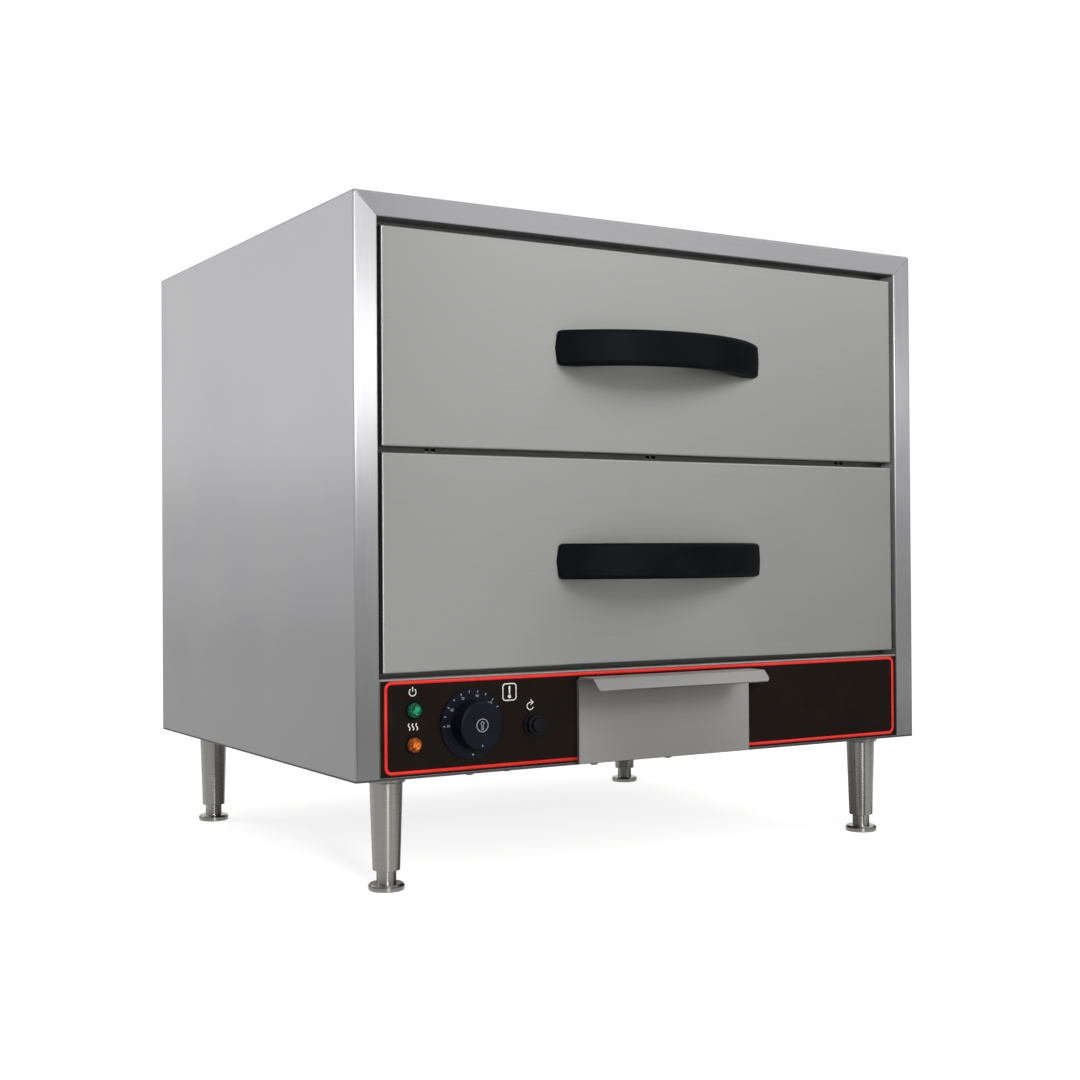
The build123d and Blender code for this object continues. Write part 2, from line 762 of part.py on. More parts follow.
# ------------------------------------------------------------------ reset switch
collar_front = overlay_y - reset_reach
recess_back = collar_front + reset_recess_depth
barrel_front = recess_back + touch_gap
stem_gap = spindle_running_gap
with BuildPart() as reset_switch:
    with BuildSketch(facing_front(fascia_back, reset_x, reset_z)):
        Circle(reset_switch_diameter / 2)
    extrude(amount=-reset_switch_depth)
    with BuildSketch(facing_front(fascia_back, reset_x, reset_z)):
        Circle(reset_barrel_diameter / 2)
    extrude(amount=fascia_back - barrel_front)
    with BuildSketch(facing_front(barrel_front, reset_x, reset_z)):
        Circle(button_stem_diameter / 2 + stem_gap)
    stem_bore_depth = button_stem_length + button_travel + touch_gap
    extrude(amount=-stem_bore_depth, mode=Mode.SUBTRACT)
save(reset_switch, "reset_switch")

with BuildPart() as reset_collar:
    with BuildSketch(facing_front(overlay_y, reset_x, reset_z)):
        Circle(reset_collar_diameter / 2)
    extrude(amount=reset_collar_thickness)
    collar_rim = reset_collar.edges().sort_by(Axis.Y)[0]
    chamfer(collar_rim, length=reset_collar_thickness / 3)
    with BuildSketch(facing_front(overlay_y, reset_x, reset_z)):
        Circle(reset_neck_diameter / 2)
    extrude(amount=reset_reach)
    with BuildSketch(facing_front(overlay_y, reset_x, reset_z)):
        Circle(reset_barrel_diameter / 2 + hole_gap)
    extrude(amount=reset_reach, mode=Mode.SUBTRACT)
    with BuildSketch(facing_front(collar_front, reset_x, reset_z)):
        Circle(button_diameter / 2 + button_radial_gap)
    extrude(amount=-reset_recess_depth, mode=Mode.SUBTRACT)
    neck_rim = reset_collar.edges().group_by(Axis.Y)[0].sort_by(SortBy.LENGTH)[-1]
    fillet(neck_rim, radius=reset_neck_edge)
save(reset_collar, "reset_collar")

with BuildPart() as reset_button:
    button_front = collar_front - button_reach
    button_back = recess_back - button_travel - touch_gap
    with BuildSketch(facing_front(button_back, reset_x, reset_z)):
        Circle(button_diameter / 2)
    extrude(amount=button_back - button_front)
    fillet(reset_button.edges().sort_by(Axis.Y)[0], radius=button_edge)
    with BuildSketch(facing_front(button_back, reset_x, reset_z)):
        Circle(button_stem_diameter / 2)
    extrude(amount=-(barrel_front - button_back + button_stem_length))
save(reset_button, "reset_button")

# ------------------------------------------------------------------ pull-out tray
tray_low = base_z + tray_bottom_gap
tray_lip_z = base_z + tray_top
with BuildPart() as tray_front:
    with BuildSketch(Plane.YZ) as tray_section:
        with BuildLine():
            FilletPolyline(
                (tray_plate_back, tray_low),
                (tray_plate_back, tray_lip_z),
                (tray_plate_back - tray_lip_reach, tray_lip_z),
                (tray_plate_back - tray_lip_reach - tray_lip_fold, tray_lip_z - tray_lip_fold),
                radius=tray_bend,
            )
            offset(amount=tray_sheet, side=Side.LEFT)
        make_face()
    extrude(amount=tray_width / 2, both=True)
    lip_corners = tray_front.edges().filter_by(
        lambda edge: edge.center().Y < tray_plate_back - tray_lip_reach - tray_lip_fold / 2
        and abs(abs(edge.center().X) - tray_width / 2) < 0.01
        and edge.length < tray_sheet + touch_gap
    )
    fillet(lip_corners, radius=tray_lip_corner)
    return_back = overlay_y - touch_gap
    return_z = (base_z + base_sheet + touch_gap, tray_lip_z - tray_bend)
    for side in (-1, 1):
        edge_x = sorted((side * tray_width / 2, side * (tray_width / 2 - tray_sheet)))
        slab(edge_x, (tray_plate_back, return_back), return_z)
save(tray_front, "tray_front")

with BuildPart() as tray_pan:
    with BuildSketch(Plane.XY.offset(tray_pan_low)):
        with Locations((0, tray_plate_back + tray_pan_depth / 2)):
            RectangleRounded(tray_pan_width, tray_pan_depth, tray_pan_corner)
    extrude(amount=tray_pan_height)
    floor_edges = tray_pan.faces().sort_by(Axis.Z)[0].edges()
    fillet(floor_edges, radius=tray_pan_corner / 2)
    offset(amount=-tray_pan_sheet, openings=tray_pan.faces().sort_by(Axis.Z)[-1])
save(tray_pan, "tray_pan")

with BuildPart() as tray_channel:
    channel_y = (fascia_back + base_sheet + touch_gap, fascia_back + channel_length)
    channel_x = tray_notch_x + channel_sheet
    slab((-channel_x, channel_x), channel_y, (base_z + base_sheet, channel_floor))
    for side in (-1, 1):
        wall_x = sorted((side * tray_notch_x, side * channel_x))
        wall_z = (base_z + base_sheet, base_z + base_sheet + channel_height)
        slab(wall_x, channel_y, wall_z)
    slab(
        (-tray_notch_x, tray_notch_x),
        (channel_y[1] - channel_sheet, channel_y[1]),
        (base_z + base_sheet, base_z + base_sheet + channel_height),
    )
save(tray_channel, "tray_channel")

# ------------------------------------------------------------------ wiring at the rear
with BuildPart() as terminal_block:
    block_y = rear_y - block_rear_margin
    block_low = base_z + base_sheet
    slab(
        (block_x - block_width / 2, block_x + block_width / 2),
        (block_y - block_depth / 2, block_y + block_depth / 2),
        (block_low, block_low + block_height),
    )
    pole_pitch = block_width / block_poles
    with BuildSketch(Plane.XY.offset(block_low + block_height)) as barriers:
        with Locations((block_x, block_y)):
            with GridLocations(pole_pitch, 1, block_poles - 1, 1):
                Rectangle(block_screw_diameter / 2, block_depth)
    extrude(amount=block_screw_diameter)
    with BuildSketch(Plane.XY.offset(block_low + block_height)) as screws:
        with Locations((block_x, block_y)):
            with GridLocations(pole_pitch, block_depth / 2, block_poles, 2):
                Circle(block_screw_diameter / 2)
    extrude(amount=-block_height / 2, mode=Mode.SUBTRACT)
save(terminal_block, "terminal_block")

gland_z = base_z + gland_height
gland_face = rear_y + rear_panel_sheet
with BuildPart() as cord_gland:
    with BuildSketch(facing_front(gland_face, gland_x, gland_z)):
        RegularPolygon(gland_nut_diameter / 2, 6)
    extrude(amount=-gland_nut_thickness)
    with BuildSketch(facing_front(gland_face + gland_nut_thickness, gland_x, gland_z)):
        Circle(gland_dome_diameter / 2)
    extrude(amount=-gland_dome_length)
    fillet(cord_gland.edges().sort_by(Axis.Y)[-1], radius=gland_dome_radius)
    with BuildSketch(facing_front(gland_face, gland_x, gland_z)):
        Circle(gland_body_diameter / 2)
    extrude(amount=rear_panel_sheet + gland_nut_thickness + touch_gap)
    with BuildSketch(facing_front(rear_y, gland_x, gland_z)):
        RegularPolygon(gland_nut_diameter / 2, 6)
    extrude(amount=gland_nut_thickness)
    with BuildSketch(facing_front(gland_face, gland_x, gland_z)):
        Circle(gland_bore_diameter / 2)
    extrude(amount=gland_nut_diameter, both=True, mode=Mode.SUBTRACT)
save(cord_gland, "cord_gland")

# ------------------------------------------------------------------ legs and screw feet
foot_top = foot_thickness + foot_neck_length
for name, (leg_x, leg_y) in leg_spots.items():
    section_plane = facing_front(leg_y, leg_x)
    leg_axis = Axis((leg_x, leg_y, 0), (0, 0, 1))
    with BuildPart() as leg:
        bore_radius = foot_stud_diameter / 2 + foot_stud_gap
        bore_top = foot_top + foot_stud_length + foot_bore_spare
        flange_low = leg_height - leg_flange_height
        nut_low = leg_height + base_sheet
        with BuildSketch(section_plane):
            with BuildLine():
                Polyline(
                    (bore_radius, foot_top),
                    (leg_tip_diameter / 2, foot_top),
                    (leg_top_diameter / 2, flange_low),
                    (leg_flange_diameter / 2 - shell_sheet, flange_low),
                    (leg_flange_diameter / 2, flange_low + shell_sheet),
                    (leg_flange_diameter / 2, leg_height),
                    (leg_stud_diameter / 2, leg_height),
                    (leg_stud_diameter / 2, nut_low),
                    (leg_nut_diameter / 2, nut_low),
                    (leg_nut_diameter / 2, nut_low + leg_nut_thickness),
                    (leg_stud_diameter / 2, nut_low + leg_nut_thickness),
                    (leg_stud_diameter / 2, leg_height + leg_stud_length),
                    (0, leg_height + leg_stud_length),
                    (0, bore_top),
                    (bore_radius, bore_top),
                    close=True,
                )
            make_face()
        revolve(axis=leg_axis)
    save(leg, f"leg_{name}")
    with BuildPart() as foot:
        with BuildSketch(section_plane):
            with BuildLine():
                Polyline(
                    (0, 0),
                    (foot_diameter / 2 - foot_chamfer / 2, 0),
                    (foot_diameter / 2, foot_chamfer / 2),
                    (foot_diameter / 2, foot_thickness - foot_chamfer),
                    (foot_diameter / 2 - foot_chamfer, foot_thickness),
                    (foot_neck_diameter / 2, foot_thickness),
                    (foot_neck_diameter / 2, foot_top),
                    (foot_stud_diameter / 2, foot_top),
                    (foot_stud_diameter / 2, foot_top + foot_stud_length),
                    (0, foot_top + foot_stud_length),
                    close=True,
                )
            make_face()
        revolve(axis=leg_axis)
    save(foot, f"foot_{name}")

# ------------------------------------------------------------------ telescopic slides
# Sections are drawn from the liner wall inwards: local x is the distance from the wall.
slide_half = slide_height / 2
outer_depth = slide_thickness - slide_bead
middle_wall = slide_sheet + slide_gap
middle_half = slide_half - slide_sheet - slide_gap
middle_depth = outer_depth - slide_sheet - slide_gap
brim_wall = middle_wall + slide_sheet + slide_gap
brim_depth = middle_depth - slide_sheet - slide_gap
brim_half = middle_half - slide_sheet - slide_gap
web_wall = slide_thickness - slide_sheet


def channel_points(wall, depth, half):
    """Outside line of a lipped channel that opens away from the wall."""
    return [
        (depth, half - slide_lip),
        (depth, half),
        (wall, half),
        (wall, -half),
        (depth, -half),
        (depth, slide_lip - half),
    ]


inner_points = [
    (brim_depth, brim_half),
    (brim_wall, brim_half),
    (brim_wall, inner_half_height - slide_sheet),
    (web_wall, inner_half_height - slide_sheet),
]
inner_points = inner_points + [(u, -w) for u, w in reversed(inner_points)]


def bent_strip(plane, points, length):
    """Strip bent to a section of straight runs, as long as given, added to the part."""
    with BuildSketch(plane) as section:
        with BuildLine():
            FilletPolyline(*points, radius=slide_bend)
            offset(amount=slide_sheet, side=Side.LEFT)
        make_face()
    extrude(section.sketch, amount=length)


def stop_tab(side, wall, depth, y, z_range, slide_z):
    """Lanced tab that stands across the slide between two distances from the wall."""
    x_range = sorted((side * (liner_x - wall), side * (liner_x - depth)))
    z_range = (slide_z + z_range[0], slide_z + z_range[1])
    slab(x_range, (y, y + slide_sheet), z_range)


tab_half = stop_width / 2
side_tab_z = (stop_width, 2 * stop_width)
middle_front = slide_front + middle_setback
outer_tab_y = slide_front + stop_inset
middle_tab_y = middle_front + stop_inset
inner_tab_y = middle_tab_y + slide_sheet + middle_travel + stop_gap
for level, face_low in face_lows.items():
    slide_z = face_low + face_height - face_lap - slide_drop
    for name, side in (("left", -1), ("right", 1)):

        def section_plane(y):
            """Section plane of this slide at depth y, square to its travel."""
            origin = (side * liner_x, y, slide_z)
            return Plane(origin=origin, x_dir=(-side, 0, 0), z_dir=(0, 1, 0))

        with BuildPart() as outer_member:
            points = channel_points(0, outer_depth, slide_half)
            bent_strip(section_plane(slide_front), points, slide_back - slide_front)
            outer_tab_depth = brim_wall + slide_gap
            stop_tab(side, 0, outer_tab_depth, outer_tab_y, (-tab_half, tab_half), slide_z)
        save(outer_member, f"{level}_slide_outer_{name}")

        with BuildPart() as middle_member:
            points = channel_points(middle_wall, middle_depth, middle_half)
            bent_strip(section_plane(middle_front), points, slide_back - middle_front)
            middle_reach = (middle_wall + web_wall + slide_thickness) / 3
            stop_tab(side, middle_wall, middle_reach, middle_tab_y, side_tab_z, slide_z)
            slot_x = sorted((side * (liner_x - slide_sheet), side * (liner_x - brim_wall)))
            slot_y = (outer_tab_y - stop_gap, outer_tab_y + slide_sheet + middle_travel + stop_gap)
            slot_z = (slide_z - tab_half - slide_gap, slide_z + tab_half + slide_gap)
            slab(slot_x, slot_y, slot_z, mode=Mode.SUBTRACT)
        save(middle_member, f"{level}_slide_middle_{name}")

        with BuildPart() as inner_member:
            bent_strip(section_plane(slide_front), inner_points, carrier_back - slide_front)
            inner_reach = middle_reach - 2 * slide_sheet
            stop_tab(side, inner_reach, slide_thickness, inner_tab_y, side_tab_z, slide_z)
        save(inner_member, f"{level}_slide_inner_{name}")

# ------------------------------------------------------------------ drawers
for level, face_low in face_lows.items():
    face_high = face_low + face_height
    face_middle = (face_low + face_high) / 2
    window_high = face_high - face_lap
    slide_z = window_high - slide_drop
    rim_top = window_high - pan_rim_gap
    ledge_top = rim_top - pan_sheet
    rail_z = (slide_z - rail_below_slide, ledge_top)
    ledge_z = (ledge_top - drawer_frame_sheet, ledge_top)

    # folded front, open at the back
    with BuildPart() as drawer_face:
        slab((-face_half_width, face_half_width), (face_y, face_back), (face_low, face_high))
        front_rim = drawer_face.faces().sort_by(Axis.Y)[0].edges()
        fillet(front_rim, radius=face_bend)
        offset(amount=-face_sheet, openings=drawer_face.faces().sort_by(Axis.Y)[-1])
    save(drawer_face, f"{level}_drawer_face")

    # welded frame: back plate of the front, two side rails and a rear rail with their ledges
    back_x = face_half_width - face_sheet
    with BuildPart() as drawer_frame:
        slab(
            (-back_x, back_x),
            (face_back - drawer_frame_sheet, face_back),
            (face_low + face_sheet, face_high - face_sheet),
        )
        slab((-carrier_x, carrier_x), (face_back, carrier_back), rail_z)
        slab(
            (-carrier_x + drawer_frame_sheet, carrier_x - drawer_frame_sheet),
            (face_back, carrier_back - drawer_frame_sheet),
            (rail_z[0] - drawer_frame_sheet, ledge_z[0]),
            mode=Mode.SUBTRACT,
        )
        slab(
            (-carrier_x + ledge_width, carrier_x - ledge_width),
            (face_back + ledge_width, carrier_back - ledge_width),
            (ledge_z[0] - drawer_frame_sheet, ledge_top + drawer_frame_sheet),
            mode=Mode.SUBTRACT,
        )
    save(drawer_frame, f"{level}_drawer_frame")

    # drawn food pan, hung in the frame by its flange
    pan_width = 2 * (carrier_x - ledge_width - pan_body_gap)
    pan_front = face_back + ledge_width + pan_body_gap
    pan_length = carrier_back - ledge_width - pan_body_gap - pan_front
    pan_middle_y = pan_front + pan_length / 2
    pan_depth = window_height - pan_rim_gap - pan_floor_gap
    rim_plane = Plane(origin=(0, pan_middle_y, rim_top))
    with BuildPart() as food_pan:
        with BuildSketch(rim_plane):
            RectangleRounded(pan_width, pan_length, pan_corner)
        extrude(amount=-pan_depth, taper=pan_draft)
        fillet(food_pan.faces().sort_by(Axis.Z)[0].edges(), radius=pan_floor_radius)
        with BuildSketch(rim_plane):
            flange_grow = 2 * pan_flange_width
            RectangleRounded(pan_width + flange_grow, pan_length + flange_grow, pan_corner)
        extrude(amount=-pan_sheet)
        with BuildPart(mode=Mode.PRIVATE) as pan_hollow:
            with BuildSketch(rim_plane):
                inside = 2 * pan_sheet
                corner = pan_corner - pan_sheet
                RectangleRounded(pan_width - inside, pan_length - inside, corner)
            extrude(amount=pan_sheet - pan_depth, taper=pan_draft)
            floor = pan_hollow.faces().sort_by(Axis.Z)[0].edges()
            fillet(floor, radius=pan_floor_radius - pan_sheet)
        add(pan_hollow.part, mode=Mode.SUBTRACT)
    save(food_pan, f"{level}_food_pan")

    # bowed handle: the space between two arcs, cut to a rounded bar in front view
    with BuildPart() as handle:
        with BuildSketch(Plane.XY.offset(face_middle - handle_height / 2)):
            with BuildLine():
                foot = handle_span / 2
                inner_foot = handle_inner_span / 2
                outer_bow = face_y - handle_reach
                inner_bow = face_y - handle_inner_reach
                ThreePointArc((-foot, face_y), (0, outer_bow), (foot, face_y))
                Line((foot, face_y), (inner_foot, face_y))
                ThreePointArc((inner_foot, face_y), (0, inner_bow), (-inner_foot, face_y))
                Line((-inner_foot, face_y), (-foot, face_y))
            make_face()
        extrude(amount=handle_height)
        with BuildSketch(facing_front(face_y, z=face_middle)):
            RectangleRounded(handle_span, handle_height, handle_end_corner)
        extrude(amount=2 * handle_reach, mode=Mode.INTERSECT)
        edges = handle.edges().filter_by(lambda edge: edge.center().Y < face_y - 0.01)
        fillet(edges, radius=handle_edge_radius)
    save(handle, f"{level}_handle")

print("travel of each drawer", drawer_travel, "and of its middle members", middle_travel)
print("front plane", round(front_y, 3), "rear plane", round(rear_y, 3), "top", top_z)
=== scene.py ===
# %% [markdown]
# # Dressing a two-drawer warming cabinet
# The solids come from a CAD model: folded sheet, drawers on their slides, a knob, a tray and
# turned legs. They already have the right shape. Blender adds what the eye reads on top of
# shape: the brushed grain of the steel, the printed panel, the moulded plastic, the small
# pressed and screwed details, and a plain studio. Each step is one cell, with its reason first.

import math

import bmesh
import bpy
import numpy as np
from mathutils import Matrix, Vector


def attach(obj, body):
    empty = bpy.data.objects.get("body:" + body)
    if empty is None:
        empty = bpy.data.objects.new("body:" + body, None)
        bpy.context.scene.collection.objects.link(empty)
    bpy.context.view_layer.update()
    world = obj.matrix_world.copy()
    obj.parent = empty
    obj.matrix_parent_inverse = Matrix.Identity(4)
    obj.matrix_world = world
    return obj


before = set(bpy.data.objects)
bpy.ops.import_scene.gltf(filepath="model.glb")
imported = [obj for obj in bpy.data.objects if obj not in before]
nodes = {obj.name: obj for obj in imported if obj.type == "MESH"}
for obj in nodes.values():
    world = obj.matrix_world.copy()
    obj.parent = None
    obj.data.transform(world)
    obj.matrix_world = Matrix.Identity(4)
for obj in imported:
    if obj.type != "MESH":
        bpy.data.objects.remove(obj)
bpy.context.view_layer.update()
mm = 0.001

# %% [markdown]
# A camera is a place, a direction and a lens. These values were fitted to the cabinet's own
# corners: the eye stands 1.35 m in front and 0.6 m to the left, at the height of the lower
# drawer, and looks almost level. The axes are built one after another, because a camera in
# Blender looks along its own -Z with +Y up.

# %% Camera
turn, tilt, roll = (math.radians(angle) for angle in (31.07, 0.588, -0.359))
ahead = Vector((math.sin(turn) * math.cos(tilt), math.cos(turn) * math.cos(tilt), math.sin(tilt)))
level = Vector((math.cos(turn), -math.sin(turn), 0))
upright = level.cross(ahead)
across = level * math.cos(roll) + upright * math.sin(roll)
above = upright * math.cos(roll) - level * math.sin(roll)
lens = bpy.data.cameras.new("studio_lens")
lens.lens = 53.1
camera = bpy.data.objects.new("studio_camera", lens)
camera.matrix_world = Matrix((across, above, -ahead)).transposed().to_4x4()
camera.location = (-0.9636, -1.6190, 0.3181)
bpy.context.scene.collection.objects.link(camera)
bpy.context.scene.camera = camera
bpy.context.scene.view_settings.view_transform = "Standard"
print("camera", [round(value, 3) for value in camera.location], "lens", lens.lens)

# %% [markdown]
# Colours are written as sRGB hex, as a paint chart gives them, and one function turns them
# into the linear values that a shader works in. Nodes are added by one function too: it sets
# the node's own settings, then links or fills its inputs, so a material reads as a list.


# %% Colour and node helpers
def linear(code):
    """Linear RGBA of an sRGB hex colour: a straight part near black, a 2.4 power above it."""
    parts = np.array([int(code[place : place + 2], 16) for place in (1, 3, 5)]) / 255
    bent = np.where(parts <= 0.04045, parts / 12.92, ((parts + 0.055) / 1.055) ** 2.4)
    return (*bent.tolist(), 1.0)


def add(tree, kind, inputs=None, **settings):
    """Add one node, set its settings, then link or fill its inputs by name or number."""
    made = tree.nodes.new(kind)
    for name, value in settings.items():
        setattr(made, name, value)
    for name, value in (inputs or {}).items():
        if isinstance(value, bpy.types.NodeSocket):
            tree.links.new(value, made.inputs[name])
        else:
            made.inputs[name].default_value = value
    return made


def start_material(name):
    """An empty node material and the object coordinates that its patterns read, in metres."""
    material = bpy.data.materials.new(name)
    material.use_nodes = True
    material.node_tree.nodes.clear()
    place = add(material.node_tree, "ShaderNodeTexCoord").outputs["Object"]
    return material, material.node_tree, place


def close_material(tree, shader):
    """Send a finished shader to the material's output."""
    add(tree, "ShaderNodeOutputMaterial", {"Surface": shader.outputs[0]})


def speckle(tree, place, size, detail=3.0, rough=0.55):
    """Noise whose spots are about size mm across; size may differ along X, Y and Z."""
    sizes = size if isinstance(size, tuple) else (size,) * 3
    scale = [1 / (value * mm) for value in sizes]
    moved = add(tree, "ShaderNodeMapping", {"Vector": place, "Scale": scale}).outputs[0]
    inputs = {"Vector": moved, "Scale": 1.0, "Detail": detail, "Roughness": rough}
    return add(tree, "ShaderNodeTexNoise", inputs).outputs["Fac"]


def between(tree, value, low, high, start=0.3, end=0.7):
    """Map a value's middle band, start to end, on to low to high, and hold it outside."""
    inputs = {"Value": value, 1: start, 2: end, 3: low, 4: high}
    return add(tree, "ShaderNodeMapRange", inputs).outputs[0]


def shade_between(tree, factor, dark, light):
    """Colour that runs from dark to light as the factor runs from 0 to 1."""
    inputs = {0: factor, 6: linear(dark), 7: linear(light)}
    return add(tree, "ShaderNodeMix", inputs, data_type="RGBA").outputs[2]


print("mid grey", [round(value, 3) for value in linear("#808080")])

# %% [markdown]
# Brushed stainless steel is sheet that was run under an abrasive belt. The belt leaves fine
# parallel scratches, so the sheet is a soft mirror along them and a matt one across them: a
# lamp's reflection is drawn out at right angles to the scratches. The shader draws it out
# along its tangent, so the tangent is the cross product of the surface's normal and the
# grain. Real scratches are about 0.1 mm wide. They are drawn 0.9 mm wide and 70 mm long
# here, because finer ones vanish in a picture of the whole cabinet, and they stay faint, as
# on a satin sheet. Metal keeps the default IOR.

# %% Brushed sheet
GRAIN = {"X": (1, 0, 0), "Y": (0, 1, 0), "Z": (0, 0, 1)}
# Added to the grain, so that its cross product never vanishes on a face that it runs into.
OFF_AXIS = (0.01, 0.02, 0.03)


def brush_lines(tree, place, axis, width, run):
    """Streaks that are run mm long along one axis and width mm wide across it."""
    sizes = tuple(run if value else width for value in GRAIN[axis])
    return speckle(tree, place, sizes, detail=4.0, rough=0.65)


def steel_shader(tree, place, lines, grain, colours, roughness, anisotropy, relief):
    """Metal whose scratches vary its colour, roughness and relief, with faint handling clouds."""
    clouds = speckle(tree, place, 150.0, detail=2.0)
    blend = add(tree, "ShaderNodeMath", {0: lines, 1: clouds}, operation="ADD").outputs[0]
    normal = add(tree, "ShaderNodeNewGeometry").outputs["Normal"]
    inputs = {0: grain, 1: OFF_AXIS}
    nudged = add(tree, "ShaderNodeVectorMath", inputs, operation="ADD").outputs[0]
    inputs = {0: normal, 1: nudged}
    stretch = add(tree, "ShaderNodeVectorMath", inputs, operation="CROSS_PRODUCT").outputs[0]
    colour = shade_between(tree, between(tree, blend, 0, 1, 0.75, 1.25), *colours)
    spread = between(tree, blend, roughness - 0.02, roughness + 0.03, 0.75, 1.25)
    inputs = {"Height": lines, "Strength": relief, "Distance": 0.05 * mm}
    bump = add(tree, "ShaderNodeBump", inputs).outputs[0]
    inputs = {
        "Base Color": colour,
        "Metallic": 1.0,
        "Roughness": spread,
        "Anisotropic": anisotropy,
        "Tangent": stretch,
        "Normal": bump,
    }
    close_material(tree, add(tree, "ShaderNodeBsdfPrincipled", inputs))


def brushed_steel(
    name, axis, colours, roughness=0.38, anisotropy=0.85, width=0.9, run=70.0, relief=0.03
):
    """Stainless sheet brushed along one axis, between a darker and a lighter colour."""
    material, tree, place = start_material(name)
    lines = brush_lines(tree, place, axis, width, run)
    steel_shader(tree, place, lines, GRAIN[axis], colours, roughness, anisotropy, relief)
    return material


face_steel = brushed_steel("brushed_stainless_front", "X", ("#858583", "#898987"))
rear_steel = brushed_steel("brushed_stainless_rear", "Z", ("#838385", "#89898A"), 0.4, 0.8)
tray_steel = brushed_steel("brushed_stainless_tray", "X", ("#8A8987", "#8F8E8C"), roughness=0.42)
fascia_steel = brushed_steel("brushed_stainless_fascia", "X", ("#747471", "#7C7C79"))
liner_steel = brushed_steel("mill_stainless_liner", "Y", ("#85857F", "#93938E"), roughness=0.4)
frame_steel = brushed_steel("mill_stainless_frame", "X", ("#6B6B69", "#7D7D7B"), roughness=0.45)
# The base pan's steel is painted much darker than the other stainless: painted shade along the
# cabinet's bottom edge.
base_steel_painted_shade = brushed_steel("mill_stainless_base_painted_shade", "X", ("#434448", "#505156"), roughness=0.45)
print("brushed sheets made")

# %% [markdown]
# The outer shell is one blank, folded at the four long edges. Its sides and the two front
# stiles keep the upright grain, and the top rail is a strip whose grain lies level, so the
# rail and the stiles meet in a mitre where the grain turns. The material works out which
# sheet a point lies on from its place, and turns its scratches there.


# %% Shell with a turned grain at the mitres
def folded_shell_steel(name, colours, opening_x, opening_top):
    """Upright grain, but level on the front above the line that rises outwards at 45 degrees."""
    material, tree, place = start_material(name)
    point = add(tree, "ShaderNodeSeparateXYZ", {0: place}).outputs
    normal = add(tree, "ShaderNodeNewGeometry").outputs["Normal"]
    facing = add(tree, "ShaderNodeSeparateXYZ", {0: normal}).outputs
    out = add(tree, "ShaderNodeMath", {0: point[0]}, operation="ABSOLUTE").outputs[0]
    inputs = {0: point[2], 1: (opening_top - opening_x) * mm}
    rise = add(tree, "ShaderNodeMath", inputs, operation="SUBTRACT").outputs[0]
    on_rail = add(tree, "ShaderNodeMath", {0: rise, 1: out}, operation="GREATER_THAN").outputs[0]
    to_side = add(tree, "ShaderNodeMath", {0: facing[0]}, operation="ABSOLUTE").outputs[0]
    not_side = add(tree, "ShaderNodeMath", {0: to_side, 1: 0.7}, operation="LESS_THAN").outputs[0]
    inputs = {0: on_rail, 1: not_side}
    level_grain = add(tree, "ShaderNodeMath", inputs, operation="MULTIPLY").outputs[0]
    upright_lines = brush_lines(tree, place, "Z", 0.9, 70.0)
    level_lines = brush_lines(tree, place, "X", 0.9, 70.0)
    inputs = {0: level_grain, 2: upright_lines, 3: level_lines}
    lines = add(tree, "ShaderNodeMix", inputs).outputs[0]
    inputs = {0: level_grain, 4: GRAIN["Z"], 5: GRAIN["X"]}
    grain = add(tree, "ShaderNodeMix", inputs, data_type="VECTOR").outputs[1]
    steel_shader(tree, place, lines, grain, colours, roughness=0.36, anisotropy=0.95, relief=0.01)
    return material


opening_half_width, opening_height = 325.4, 637.8
shell_steel = folded_shell_steel(
    "brushed_stainless_shell", ("#838385", "#89898A"), opening_half_width, opening_height
)
print("shell steel made")

# %% [markdown]
# Turned parts, such as the legs and feet, carry the lathe's fine rings, and rolled parts,
# such as slides and pans, are smoother than brushed sheet. A ring is a streak that is long
# round the part and short along it, so its noise is stretched across Z.

# %% Turned, rolled and drawn metal
def turned_steel(name, colours, roughness=0.26, ring=0.7):
    """Rings round Z: streaks ring mm high and long round the part. Their way is the cross
    product of the normal and Z, so a highlight is drawn out upright, into a thin line."""
    material, tree, place = start_material(name)
    lines = speckle(tree, place, (60.0, 60.0, ring), detail=3.0)
    normal = add(tree, "ShaderNodeNewGeometry").outputs["Normal"]
    inputs = {0: normal, 1: GRAIN["Z"]}
    ring_way = add(tree, "ShaderNodeVectorMath", inputs, operation="CROSS_PRODUCT").outputs[0]
    steel_shader(tree, place, lines, ring_way, colours, roughness, anisotropy=0.85, relief=0.01)
    return material


leg_steel = turned_steel("turned_stainless", ("#7C7B77", "#83827E"))
# name, grain axis, colours, roughness, anisotropy, streak width and streak length in mm
slide_steel, pan_steel, screw_steel, heater_steel, brass, copper = (
    brushed_steel(*finish)
    for finish in (
        ("rolled_zinc_plated_steel", "Y", ("#999B9D", "#AAACAE"), 0.3, 0.85, 1.6, 120.0),
        ("drawn_stainless_pan", "X", ("#9B9B97", "#A6A6A2"), 0.32, 0.4, 2.0, 30.0),
        ("cold_headed_steel", "X", ("#6C6C6C", "#808080"), 0.35, 0.0, 0.6, 2.0),
        ("heat_darkened_sheath", "Y", ("#3A3633", "#57504A"), 0.5, 0.3, 3.0, 18.0),
        ("turned_brass", "X", ("#A08045", "#B09050"), 0.3, 0.3, 0.5, 4.0),
        ("drawn_copper_tube", "Y", ("#985A38", "#A86A44"), 0.35, 0.3, 1.0, 20.0),
    )
)
print("turned, rolled and drawn metals made")

# %% [markdown]
# The black parts are moulded. A mould is spark-eroded to a fine satin texture, which hides
# sink marks and fingerprints: tiny even bumps, a little shine, and edges that rub smoother
# with use. The texture is 0.6 mm across on the handles and finer on the controls.


